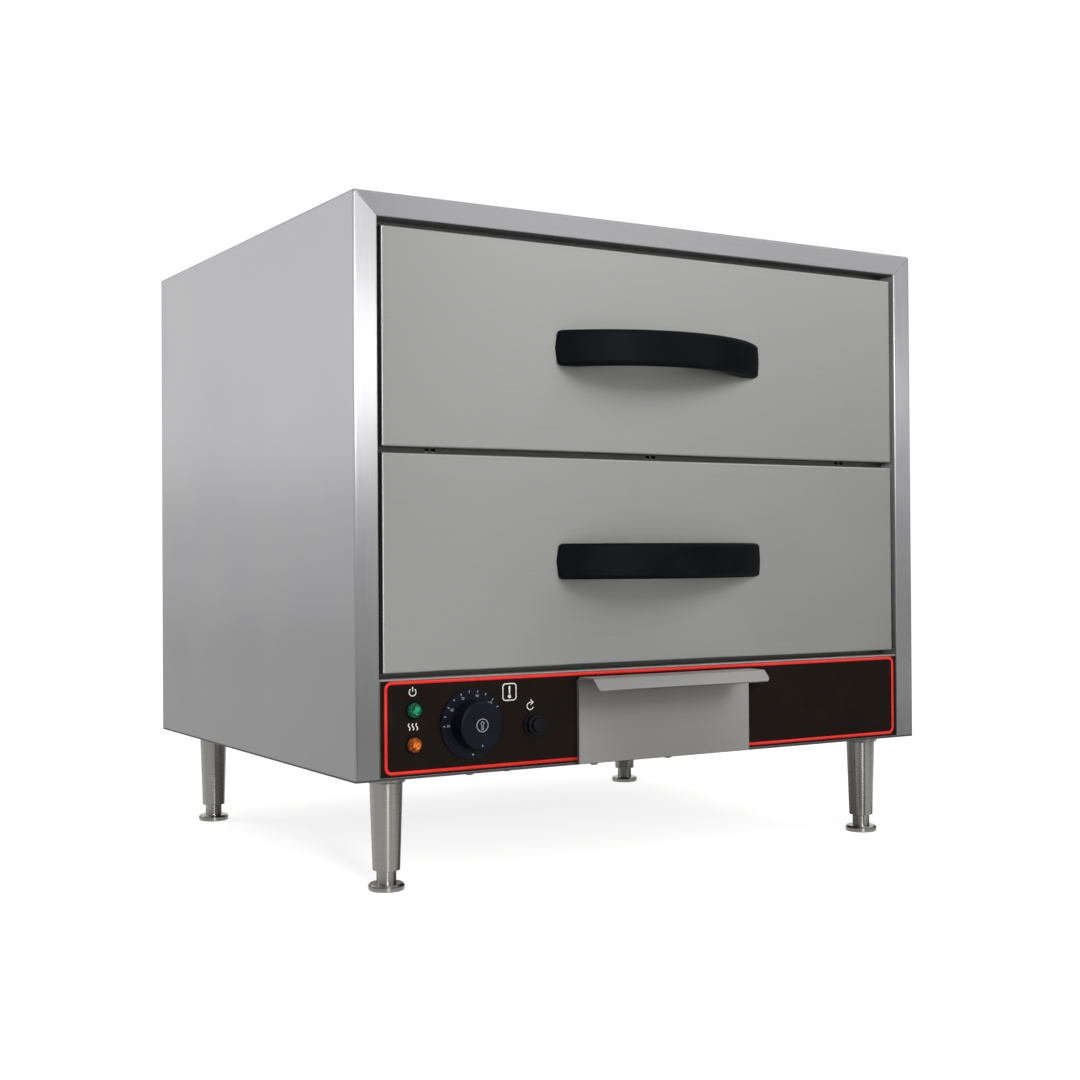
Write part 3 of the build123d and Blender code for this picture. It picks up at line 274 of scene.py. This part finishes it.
# %% Moulded plastics
def moulded_plastic(name, dark, light, grit=0.6, depth=0.02, roughness=0.42, coat=0.0, shine=0.5):
    """Satin moulding: eroded texture for relief, slow clouds for colour and roughness. Shine is
    the specular level: 0.5 is plain plastic, and less where the eroded pits trap the light."""
    material, tree, place = start_material(name)
    texture = speckle(tree, place, grit, detail=4.0, rough=0.6)
    clouds = speckle(tree, place, 35.0, detail=2.0)
    inputs = {"Height": texture, "Strength": 0.5, "Distance": depth * mm}
    inputs = {
        "Base Color": shade_between(tree, between(tree, clouds, 0, 1), dark, light),
        "Roughness": between(tree, clouds, roughness - 0.04, roughness + 0.06),
        "IOR": 1.5,
        "Specular IOR Level": shine,
        "Coat Weight": coat,
        "Coat Roughness": 0.2,
        "Normal": add(tree, "ShaderNodeBump", inputs).outputs[0],
    }
    close_material(tree, add(tree, "ShaderNodeBsdfPrincipled", inputs))
    return material


handle_plastic = moulded_plastic(
    "moulded_nylon_handle", "#0A0B0E", "#0E0F13", roughness=0.45, shine=0.02
)
control_plastic = moulded_plastic(
    "moulded_thermoset_control", "#070A11", "#0A0E16", grit=0.4, shine=0.08
)
button_plastic = moulded_plastic(
    "moulded_thermoset_button", "#05060B", "#090A11", grit=0.4, shine=0.1
)
overlay_film = moulded_plastic(
    "printed_polyester_film", "#130E0A", "#17120E", depth=0.006, roughness=0.34, shine=0.04
)
lamp_plastic = moulded_plastic("moulded_lamp_bezel", "#07080D", "#0B0C12", grit=0.4, shine=0.03)
gland_plastic = moulded_plastic("moulded_nylon_gland", "#17181A", "#222326")
switch_plastic = moulded_plastic("moulded_pale_thermoset", "#B9B09C", "#CBC3B0", roughness=0.5)
ceramic = moulded_plastic(
    "glazed_steatite", "#DAD5C8", "#E8E4DA", grit=2.0, roughness=0.25, coat=0.5
)
red_ink = moulded_plastic(
    "screen_printed_red", "#D4241E", "#DC2E27", depth=0.01, roughness=0.4, shine=0.15
)
pale_ink = moulded_plastic(
    "screen_printed_pale", "#C9C7C2", "#D6D4D0", grit=0.5, depth=0.01, roughness=0.45
)
dial_ink = moulded_plastic(
    "pad_printed_grey", "#85868B", "#919297", grit=0.5, depth=0.01, roughness=0.45
)
wool = moulded_plastic("mineral_wool", "#C9C2A6", "#E0DAC2", grit=2.5, depth=0.8, roughness=0.9)
print("plastics, inks and wool made")

# %% [markdown]
# A pilot lamp's lens is tinted acrylic with small pyramids moulded inside, which scatter the lamp's
# light. From outside they are cells about 1.5 mm across, some bright and some dark, under a glossy
# face. The cells come from a Voronoi pattern, which gives each its own brightness, painted into the
# base colour as painted light. Towards the rim, where the dome turns away from the front, the
# colour is painted darker, as painted shade.


# %% Lens acrylic
def lens_acrylic(name, dark, light, cell=1.5):
    """Glossy tinted acrylic with painted light in its base colour: each cell of a Voronoi pattern
    has its own share of the light, and all of them lose it towards the rim, where the normal leaves
    the -Y direction, as painted shade."""
    material, tree, place = start_material(name)
    inputs = {"Vector": place, "Scale": 1 / (cell * mm)}
    cells = add(tree, "ShaderNodeTexVoronoi", inputs).outputs
    # Each cell's share is painted light: its bright or dark tone in the base colour.
    share = add(tree, "ShaderNodeSeparateColor", {0: cells["Color"]}).outputs[0]
    normal = add(tree, "ShaderNodeNewGeometry").outputs["Normal"]
    inputs = {0: normal, 1: (0, -1, 0)}
    facing = add(tree, "ShaderNodeVectorMath", inputs, operation="DOT_PRODUCT").outputs[1]
    # Painted shade: the colour darkens towards the rim, as the normal turns away from -Y.
    middle = between(tree, facing, 0.35, 1.0, 0.8, 0.95)
    share = add(tree, "ShaderNodeMath", {0: share, 1: middle}, operation="MULTIPLY").outputs[0]
    height = {"Height": cells["Distance"], "Strength": 0.5, "Distance": 0.2 * mm}
    inputs = {
        "Base Color": shade_between(tree, between(tree, share, 0, 1, 0.05, 0.7), dark, light),
        "Roughness": 0.25,
        "IOR": 1.49,
        "Specular IOR Level": 0.12,
        "Normal": add(tree, "ShaderNodeBump", height).outputs[0],
    }
    close_material(tree, add(tree, "ShaderNodeBsdfPrincipled", inputs))
    return material


green_lens = lens_acrylic("tinted_acrylic_green", "#04241A", "#1B9468")
orange_lens = lens_acrylic("tinted_acrylic_orange", "#481B04", "#D26E20")
print("lenses made")

# %% [markdown]
# Every CAD node gets its material by its name. The list goes from general to particular, and
# the last entry that fits a name holds. Nothing on a CAD node moves: only its slot changes.

# %% Dress the CAD nodes
dressing = [
    ("", liner_steel),
    ("shell", shell_steel),
    ("rear_panel", rear_steel),
    ("face_frame", frame_steel),
    ("base_pan", base_steel_painted_shade),
    ("insulation", wool),
    ("heater", heater_steel),
    ("fascia", fascia_steel),
    ("overlay", overlay_film),
    ("_lamp", lamp_plastic),
    ("power_lens", green_lens),
    ("heat_lens", orange_lens),
    ("thermostat_body", switch_plastic),
    ("dial_ring", control_plastic),
    ("thermostat_knob", control_plastic),
    ("spindle", brass),
    ("capillary", copper),
    ("reset_switch", switch_plastic),
    ("reset_collar", button_plastic),
    ("reset_button", button_plastic),
    ("tray_front", tray_steel),
    ("terminal_block", ceramic),
    ("cord_gland", gland_plastic),
    ("leg_", leg_steel),
    ("foot_", leg_steel),
    ("_slide_", slide_steel),
    ("drawer_face", face_steel),
    ("food_pan", pan_steel),
    ("_handle", handle_plastic),
]
for name, solid in nodes.items():
    material = [made for word, made in dressing if word in name][-1]
    solid.data.materials.clear()
    solid.data.materials.append(material)
print("dressed", len(nodes), "nodes")

# %% [markdown]
# New pieces are surfaces worked out as arrays of points, so one helper turns an array of
# points into a mesh, and another closes its seams, gives it its finish and says which body
# it rides on. Points are in millimetres in the cabinet's own frame until that moment.


# %% Surfaces from arrays
def surface(points, around=False):
    """Vertices and quads of a grid of points; around joins its last column to its first."""
    rows, columns = points.shape[:2]
    index = np.arange(rows * columns).reshape(rows, columns)
    if around:
        index = np.column_stack([index, index[:, :1]])
    quads = np.stack([index[:-1, :-1], index[1:, :-1], index[1:, 1:], index[:-1, 1:]], axis=-1)
    return points.reshape(-1, 3), quads.reshape(-1, 4)


def repeated(grids, around=False):
    """Several grids of one shape, as one set of vertices and quads: each set is numbered on."""
    first, quads = surface(grids[0], around)
    steps = np.arange(len(grids))[:, None, None] * len(first)
    return grids.reshape(-1, 3), (quads[None] + steps).reshape(-1, 4)


def make_piece(name, shape, body, material):
    """Mesh a shape given in mm, merge its seams and poles, and set its finish and its body."""
    vertices, quads = shape
    mesh = bpy.data.meshes.new(name)
    mesh.from_pydata((vertices * mm).tolist(), [], quads.tolist())
    work = bmesh.new()
    work.from_mesh(mesh)
    bmesh.ops.remove_doubles(work, verts=work.verts, dist=0.002 * mm)
    bmesh.ops.dissolve_degenerate(work, edges=work.edges, dist=0.001 * mm)
    bmesh.ops.recalc_face_normals(work, faces=work.faces)
    work.to_mesh(mesh)
    work.free()
    mesh.shade_smooth()
    mesh.materials.append(material)
    piece = bpy.data.objects.new(name, mesh)
    bpy.context.scene.collection.objects.link(piece)
    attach(piece, body)
    print(name, "faces", len(mesh.polygons))


# %% [markdown]
# Print on the panel is ink a few hundredths of a millimetre thick. Each line is a thin
# rectangle carried along a path in the panel's plane, so that it is a real piece that keeps
# its edge at any distance. It is drawn 0.1 mm thick, which no one sees, to stay clear of
# the film under it.


# %% Printed lines
def ink_line(path, width, face_y, closed=False, thickness=0.1):
    """Rectangle along a path of (x, z) points: at each point the two edges lie half the width
    to either side along the line's normal, stretched by 1 / cos(half the turn) at a corner,
    so that the width holds. Open ends close to a point in their own plane."""
    path = np.asarray(path, float)
    steps = np.diff(np.vstack([path, path[:1]]) if closed else path, axis=0)
    steps /= np.linalg.norm(steps, axis=1)[:, None]
    before = np.roll(steps, 1, axis=0) if closed else np.vstack([steps[:1], steps])
    after = steps if closed else np.vstack([steps, steps[-1:]])
    sides = np.stack([before, after])[..., ::-1] * (-1, 1)
    normal = sides.sum(axis=0)
    normal /= np.linalg.norm(normal, axis=1)[:, None]
    reach = width / 2 / np.sum(normal * sides[1], axis=1)[:, None] * normal
    left, right = path + reach, path - reach
    back, front = face_y + 0.02, face_y - thickness
    corners = [(left, back), (left, front), (right, front), (right, back)]
    rows = [np.column_stack([p[:, 0], np.full(len(p), y), p[:, 1]]) for p, y in corners]
    rows = np.stack(rows, axis=1)
    if closed:
        return surface(np.concatenate([rows, rows[:1]]), around=True)
    ends = rows[[0, -1]].mean(axis=1, keepdims=True).repeat(4, axis=1)
    return surface(np.concatenate([ends[:1], rows, ends[1:]]), around=True)


def arc(centre, radius, start, end, count=24):
    """Points on a circle about centre, from one angle to another in degrees."""
    angle = np.radians(np.linspace(start, end, count))
    return np.column_stack([centre[0] + radius * np.cos(angle), centre[1] + radius * np.sin(angle)])


def rounded_frame(x_range, z_range, radius, count=8):
    """Closed path round a rectangle with quarter circles at its corners."""
    (left, right), (low, high) = x_range, z_range
    spots = [(right, high, 0), (left, high, 90), (left, low, 180), (right, low, 270)]
    signs = [(-1, -1), (1, -1), (1, 1), (-1, 1)]
    corners = [
        arc((x + sx * radius, z + sz * radius), radius, start, start + 90, count)
        for (x, z, start), (sx, sz) in zip(spots, signs)
    ]
    return np.vstack(corners)


def together(shapes):
    """Several shapes as one: their vertices in a row, and their quads numbered on."""
    starts = np.cumsum([0] + [len(vertices) for vertices, _ in shapes[:-1]])
    quads = [faces + start for (_, faces), start in zip(shapes, starts)]
    return np.vstack([vertices for vertices, _ in shapes]), np.vstack(quads)


film_y = -267.6
border_low, border_high, tray_half_width, corner_points = 115.1, 199.9, 104.0, 8
border = rounded_frame((-318.8, 318.8), (border_low, border_high), 6.0, corner_points)
opened = np.vstack(
    [
        [(tray_half_width, border_low)],
        border[-corner_points:],
        border[:-corner_points],
        [(-tray_half_width, border_low)],
    ]
)
make_piece("panel_border", ink_line(opened, 3.0, film_y), "cabinet", red_ink)

# %% [markdown]
# Beside each control stands a small sign, so that the panel can be used in any language: a
# switched-on mark, warm air, a thermometer and a return arrow. They are plain strokes of
# about a millimetre, and they are laid down as the border is.

# %% Signs beside the controls
heat_x, power_x, power_z, gauge_x, reset_x, reset_z = -290.6, -290.8, 190.6, -185.3, -161.8, 170.8
wave = np.linspace(0, 1, 16)
heat_waves = [
    np.column_stack([heat_x + shift + 0.9 * np.sin(wave * 2 * np.pi), 154.6 + 6.6 * wave])
    for shift in (-4.0, 0.0, 4.0)
]
gauge_frame = rounded_frame((gauge_x - 7.4, gauge_x + 7.4), (177.6, 193.8), 3.2)
signs = [ink_line(path, 1.0, film_y) for path in heat_waves]
signs += [
    ink_line(arc((power_x, power_z), 3.6, 128, 412, 28), 1.0, film_y),
    ink_line([(power_x, power_z + 0.2), (power_x, power_z + 5.0)], 1.0, film_y),
    ink_line(gauge_frame, 1.1, film_y, closed=True),
    ink_line([(gauge_x, 191.6), (gauge_x, 182.6)], 1.7, film_y),
    ink_line(arc((gauge_x, 181.3), 0.95, 0, 360, 17)[:-1], 1.8, film_y, closed=True),
    ink_line(arc((reset_x, reset_z), 3.6, 62, 340, 26), 0.9, film_y),
    ink_line([(-161.6, 176.9), (-158.4, 174.3), (-161.6, 171.9)], 0.9, film_y),
]
make_piece("panel_signs", together(signs), "cabinet", pale_ink)

# %% [markdown]
# The thermostat's ring carries a scale of strokes and plain numbers, and the knob a pointer
# stroke. At rest the pointer stands at six o'clock, on the off mark. The scale starts at
# nine o'clock and runs clockwise with a stroke every 17 degrees. The knob's marks ride on
# the knob, so they turn with it.

# %% Scale of the thermostat
dial_x, dial_z = -228.0, 157.5
ring_y, knob_y = -271.0, -290.0
angles = np.radians(182 - 17 * np.arange(10))
rays = np.column_stack([np.cos(angles), np.sin(angles)])
centre = np.array([dial_x, dial_z])
scale = [ink_line(centre + np.outer((29.9, 32.2), ray), 0.8, ring_y) for ray in rays]
scale.append(ink_line(arc((dial_x, dial_z - 29.6), 0.5, 0, 360, 13)[:-1], 0.9, ring_y, closed=True))
make_piece("dial_scale", together(scale), "cabinet", dial_ink)
keyhole = np.array([(-0.8, 0.5), (-0.8, -3.9), (0.8, -3.9), (0.8, 0.5)])
emblem = [
    ink_line(arc((dial_x, dial_z), 6.1, 0, 360, 41)[:-1], 0.8, knob_y, closed=True),
    ink_line(arc((dial_x, dial_z + 1.9), 1.6, -60, 240, 21), 0.7, knob_y),
    ink_line(centre + keyhole, 0.7, knob_y),
    ink_line([(dial_x, dial_z - 18.4), (dial_x, dial_z - 20.6)], 0.9, knob_y),
]
make_piece("knob_marks", together(emblem), "knob", dial_ink)


# %% Numbers of the scale
def number_on_ring(text, angle, radius, size):
    """Text turned into a mesh, centred at an angle and radius on the ring, in its plane."""
    words = bpy.data.curves.new("number", "FONT")
    words.body, words.size, words.extrude = text, size * mm, 0.05 * mm
    words.align_x, words.align_y = "CENTER", "CENTER"
    words.resolution_u = 3
    holder = bpy.data.objects.new("number", words)
    bpy.context.scene.collection.objects.link(holder)
    bpy.context.view_layer.update()
    shown = holder.evaluated_get(bpy.context.evaluated_depsgraph_get())
    mesh = bpy.data.meshes.new_from_object(shown)
    spot = (dial_x + radius * math.cos(angle), ring_y - 0.04, dial_z + radius * math.sin(angle))
    mesh.transform(Matrix.Translation(Vector(spot) * mm) @ Matrix.Rotation(math.pi / 2, 4, "X"))
    bpy.data.objects.remove(holder)
    return mesh


work = bmesh.new()
for step, text in zip(range(0, 10, 2), ("30", "50", "70", "90", "110")):
    work.from_mesh(number_on_ring(text, angles[step], 26.9, 3.4))
numbers_mesh = bpy.data.meshes.new("dial_numbers")
work.to_mesh(numbers_mesh)
work.free()
numbers_mesh.materials.append(dial_ink)
dial_numbers = bpy.data.objects.new("dial_numbers", numbers_mesh)
bpy.context.scene.collection.objects.link(dial_numbers)
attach(dial_numbers, "cabinet")
print("dial_numbers faces", len(numbers_mesh.polygons))


# %% [markdown]
# Screws hold the base, the rear panel and the handles. A pan head is a low dome with a
# cross pressed into it. The dome is a grid in radius and angle, and the cross lowers every
# point that lies within half a slot's width of either arm, with a soft wall.


# %% Pan-head screws
def screw_head(radius, height, arms=0.62):
    """Dome height * sqrt(1 - (r / radius)^4), minus a cross whose wall is a smooth step."""
    ring = np.array([0.0, 0.12, 0.2, 0.3, 0.42, 0.55, 0.64, 0.74, 0.86, 0.95, 1.0, 1.0])
    angle = np.linspace(0, 2 * np.pi, 32, endpoint=False)
    r, a = np.meshgrid(ring, angle, indexing="ij")
    x, y = r * np.cos(a), r * np.sin(a)
    reach = np.minimum(np.abs(x), np.abs(y))
    arm = np.clip((0.17 - reach) / 0.07, 0, 1) * np.clip((arms - r) / 0.08, 0, 1)
    z = height * np.sqrt(np.clip(1 - 0.9 * r**4, 0, 1)) - 0.55 * height * arm * arm * (3 - 2 * arm)
    z[-1] = -0.05
    return np.stack([x * radius, y * radius, z], axis=-1)


def screws(places, normal, radius=4.2, height=2.4):
    """One head at each place, with its dome along the normal: each grid is turned and moved."""
    turned = Vector(normal).to_track_quat("Z", "X").to_matrix()
    head = screw_head(radius, height) @ np.array(turned).T
    return repeated(head[None] + np.asarray(places, float)[:, None, None, :], around=True)


under, behind = (0, 0, -1), (0, 1, 0)
base_z, rear_y, face_back_y = 109, 303, -246
base_screws = [(-222, -252, base_z), (-178, -248, base_z), (-80, -256, base_z), (15, -252, base_z)]
base_screws += [(x, y, base_z) for x in (-222, 222) for y in (-40, 180)] + [(0, 270, base_z)]
rear_screws = [(x, rear_y, z) for x in (-336, -112, 112, 336) for z in (122, 648)]
rear_screws += [(x, rear_y, z) for x in (-336, 336) for z in (296, 474)]
screw_sets = [
    ("base_screws", screws(base_screws, under, 4.4, 3.4), "cabinet"),
    ("rear_screws", screws(rear_screws, behind), "cabinet"),
]
for level_name, handle_z in (("upper", 526.6), ("lower", 312.8)):
    places = [(side * 115, face_back_y, handle_z) for side in (-1, 1)]
    screw_sets.append(
        (f"{level_name}_handle_screws", screws(places, behind), f"{level_name}_drawer")
    )
for name, heads, body in screw_sets:
    make_piece(name, heads, body, screw_steel)

# %% [markdown]
# A louvre is a slot whose upper lip is pressed out into a hood, so that warm air leaves and
# splashes stay out. The hood is a quarter barrel along the slot: it leaves the sheet at the
# top, stands furthest out at its open lower edge, and dies away towards both ends.


# %% Louvre hoods
def louvre_hood(length=50.0, rise=7.0, reach=4.5, wall=0.8):
    """x runs along the slot, the angle from the sheet to the open edge; the reach falls with
    the fourth power of x towards the ends. The second half of the rows is the inner wall."""
    along = np.linspace(-1, 1, 21)
    round_ = np.linspace(0, np.pi / 2, 9)
    a, x = np.meshgrid(np.concatenate([round_, round_[::-1]]), along, indexing="ij")
    inner = np.repeat([0.0, wall], len(round_))[:, None]
    fall = 1 - x**4
    y = (reach - inner) * np.sin(a) * fall
    z = rise * np.cos(a) * (0.35 + 0.65 * fall) - inner * np.cos(a)
    return np.stack([x * length / 2, y, z], axis=-1)


steps = np.array((-1.5, -0.5, 0.5, 1.5))
louvre_x, louvre_z = np.meshgrid(60 * steps, 157.5 + 11 * steps)
louvre_y = np.full_like(louvre_x, rear_y)
places = np.stack([louvre_x, louvre_y, louvre_z], axis=-1).reshape(-1, 3)
hoods = repeated(louvre_hood()[None] + places[:, None, None, :])
make_piece("louvre_hoods", hoods, "cabinet", rear_steel)

# %% [markdown]
# The studio is plain: a pale floor, a white tent and soft lamps. What a camera, a mirror or a
# lens sees of the surroundings is white, and what lights the object is less, so colours come
# out about as they are written. The floor keeps the cabinet's shadow. Brushed steel shows
# the lamps as soft upright shading. The one behind on the left, with a reflector under it,
# grades the cabinet's side from top to bottom, and the two in front on the right grade the
# drawers. The two in the middle stand 35 degrees off the drawers' mirror line: grain that
# lies level misses them, but the stile's upright grain throws them wide, into a bright band,
# and each leg into a thin line.

# %% Floor, world and lamps
floor_mesh = bpy.data.meshes.new("studio_floor")
reach = 14
corners = [(x * reach, y * reach, 0) for x, y in ((-1, -1), (1, -1), (1, 1), (-1, 1))]
floor_mesh.from_pydata(corners, [], [(0, 1, 2, 3)])
floor = bpy.data.objects.new("studio_floor", floor_mesh)
bpy.context.scene.collection.objects.link(floor)


def seen_directly(tree):
    """1 for a ray from the camera, off a glossy surface or through glass, and 0 for others."""
    path = add(tree, "ShaderNodeLightPath").outputs
    inputs = {0: path["Is Glossy Ray"], 1: path["Is Transmission Ray"]}
    mirrored = add(tree, "ShaderNodeMath", inputs, operation="MAXIMUM").outputs[0]
    inputs = {0: path["Is Camera Ray"], 1: mirrored}
    return add(tree, "ShaderNodeMath", inputs, operation="MAXIMUM").outputs[0]


floor_paint, tree, place = start_material("pale_floor_paint")
grain = speckle(tree, place, 3.0)
paint = shade_between(tree, grain, "#AEAEAC", "#B6B6B4")
diffuse = add(tree, "ShaderNodeBsdfDiffuse", {"Color": paint})
glow = add(tree, "ShaderNodeEmission", {"Color": (1, 1, 1, 1), "Strength": 0.8})
lit = add(tree, "ShaderNodeAddShader", {0: diffuse.outputs[0], 1: glow.outputs[0]})
inputs = {0: seen_directly(tree), 1: diffuse.outputs[0], 2: lit.outputs[0]}
close_material(tree, add(tree, "ShaderNodeMixShader", inputs))
floor_mesh.materials.append(floor_paint)

world = bpy.data.worlds.new("studio_world")
world.use_nodes = True
world.node_tree.nodes.clear()
tree = world.node_tree
light_level, seen_level = 0.5, 1.0
strength = between(tree, seen_directly(tree), light_level, seen_level, 0.0, 1.0)
sky = add(tree, "ShaderNodeBackground", {"Color": (1, 1, 1, 1), "Strength": strength})
add(tree, "ShaderNodeOutputWorld", {"Surface": sky.outputs[0]})
bpy.context.scene.world = world


def soft_lamp(name, spot, aim, width, height, power):
    """Rectangular area lamp at a spot, turned to face the point that it is aimed at."""
    lamp = bpy.data.lights.new(name, "AREA")
    lamp.shape, lamp.size, lamp.size_y, lamp.energy = "RECTANGLE", width, height, power
    holder = bpy.data.objects.new(name, lamp)
    turn_to = (Vector(aim) - Vector(spot)).to_track_quat("-Z", "Y")
    holder.matrix_world = Matrix.Translation(spot) @ turn_to.to_matrix().to_4x4()
    bpy.context.scene.collection.objects.link(holder)


front = (0, -0.27, 0.4)
soft_lamp("overhead_softbox", (0.2, -0.4, 2.8), (0, 0, 0.3), 2.4, 2.4, 12)
soft_lamp("side_softbox", (-2.4, 2.0, 1.35), (-0.35, 0, 0.4), 1.6, 1.6, 21)
soft_lamp("side_reflector", (-2.4, 2.0, 0.4), (-0.35, 0, 0.4), 1.6, 0.5, 2.5)
soft_lamp("right_softbox", (2.4, -1.9, 2.0), front, 1.2, 1.2, 12)
soft_lamp("front_softbox", (1.8, -3.2, 2.2), front, 1.4, 1.4, 20)
soft_lamp("middle_softbox", (-0.8, -2.75, 0.8), front, 0.4, 0.3, 40)
soft_lamp("upper_softbox", (-0.8, -2.75, 1.25), front, 0.5, 0.7, 17)

# %% [markdown]
# A turned leg in a white tent looks like a white stick: it needs something dark to mirror. A grey
# sheet of painted shade, which glows a fixed grey, stands for the shade under the cabinet, which
# the glowing floor washes out. One black card stands on the right, outside the picture, and three
# lie on the floor in front: two small ones for the front right leg and the drawers' lower right
# corner, and a large one on the left for the stiles, whose upright grain mirrors it. Only
# reflections see them, so they throw no shadow.

# %% Painted shade sheet and black cards
CARD_Z = 0.004


def lying_card(x_range, y_range):
    """Corners of a card that lies on the floor, between two values of x and two of y."""
    (left, right), (near, far) = x_range, y_range
    return [(left, near, CARD_Z), (right, near, CARD_Z), (right, far, CARD_Z), (left, far, CARD_Z)]


def studio_card(name, corners, finish):
    """Cards of four corners each in one mesh, which only glossy rays see."""
    mesh = bpy.data.meshes.new(name)
    mesh.from_pydata(corners, [], np.arange(len(corners)).reshape(-1, 4).tolist())
    mesh.materials.append(finish)
    card = bpy.data.objects.new(name, mesh)
    bpy.context.scene.collection.objects.link(card)
    card.visible_camera = card.visible_shadow = False
    card.visible_diffuse = card.visible_transmission = False


black_card, tree, place = start_material("black_card")
felt = shade_between(tree, speckle(tree, place, 2.0), "#060606", "#0A0A0A")
close_material(tree, add(tree, "ShaderNodeBsdfDiffuse", {"Color": felt}))
# Painted shade: a sheet that glows a fixed grey where the shade under the cabinet falls.
painted_shade_sheet, tree, place = start_material("painted_shade_sheet")
shade = shade_between(tree, speckle(tree, place, 2.0), "#808080", "#868686")
close_material(tree, add(tree, "ShaderNodeEmission", {"Color": shade, "Strength": 1.0}))
studio_card("painted_shade_under_cabinet", lying_card((-0.33, 0.45), (-0.26, 0.32)), painted_shade_sheet)
upright = [(2.5, -1.9, 0.01), (2.5, 1.0, 0.01), (2.5, 1.0, 1.3), (2.5, -1.9, 1.3)]
small = lying_card((0.04, 0.3), (-0.8, -0.28)) + lying_card((0.62, 1.4), (-1.4, -0.62))
large = [(-1.5, -2.9, CARD_Z), (0.45, -2.9, CARD_Z), (-0.12, -0.9, CARD_Z), (-1.5, -0.9, CARD_Z)]
studio_card("black_cards", upright + small + large, black_card)
print("studio ready")
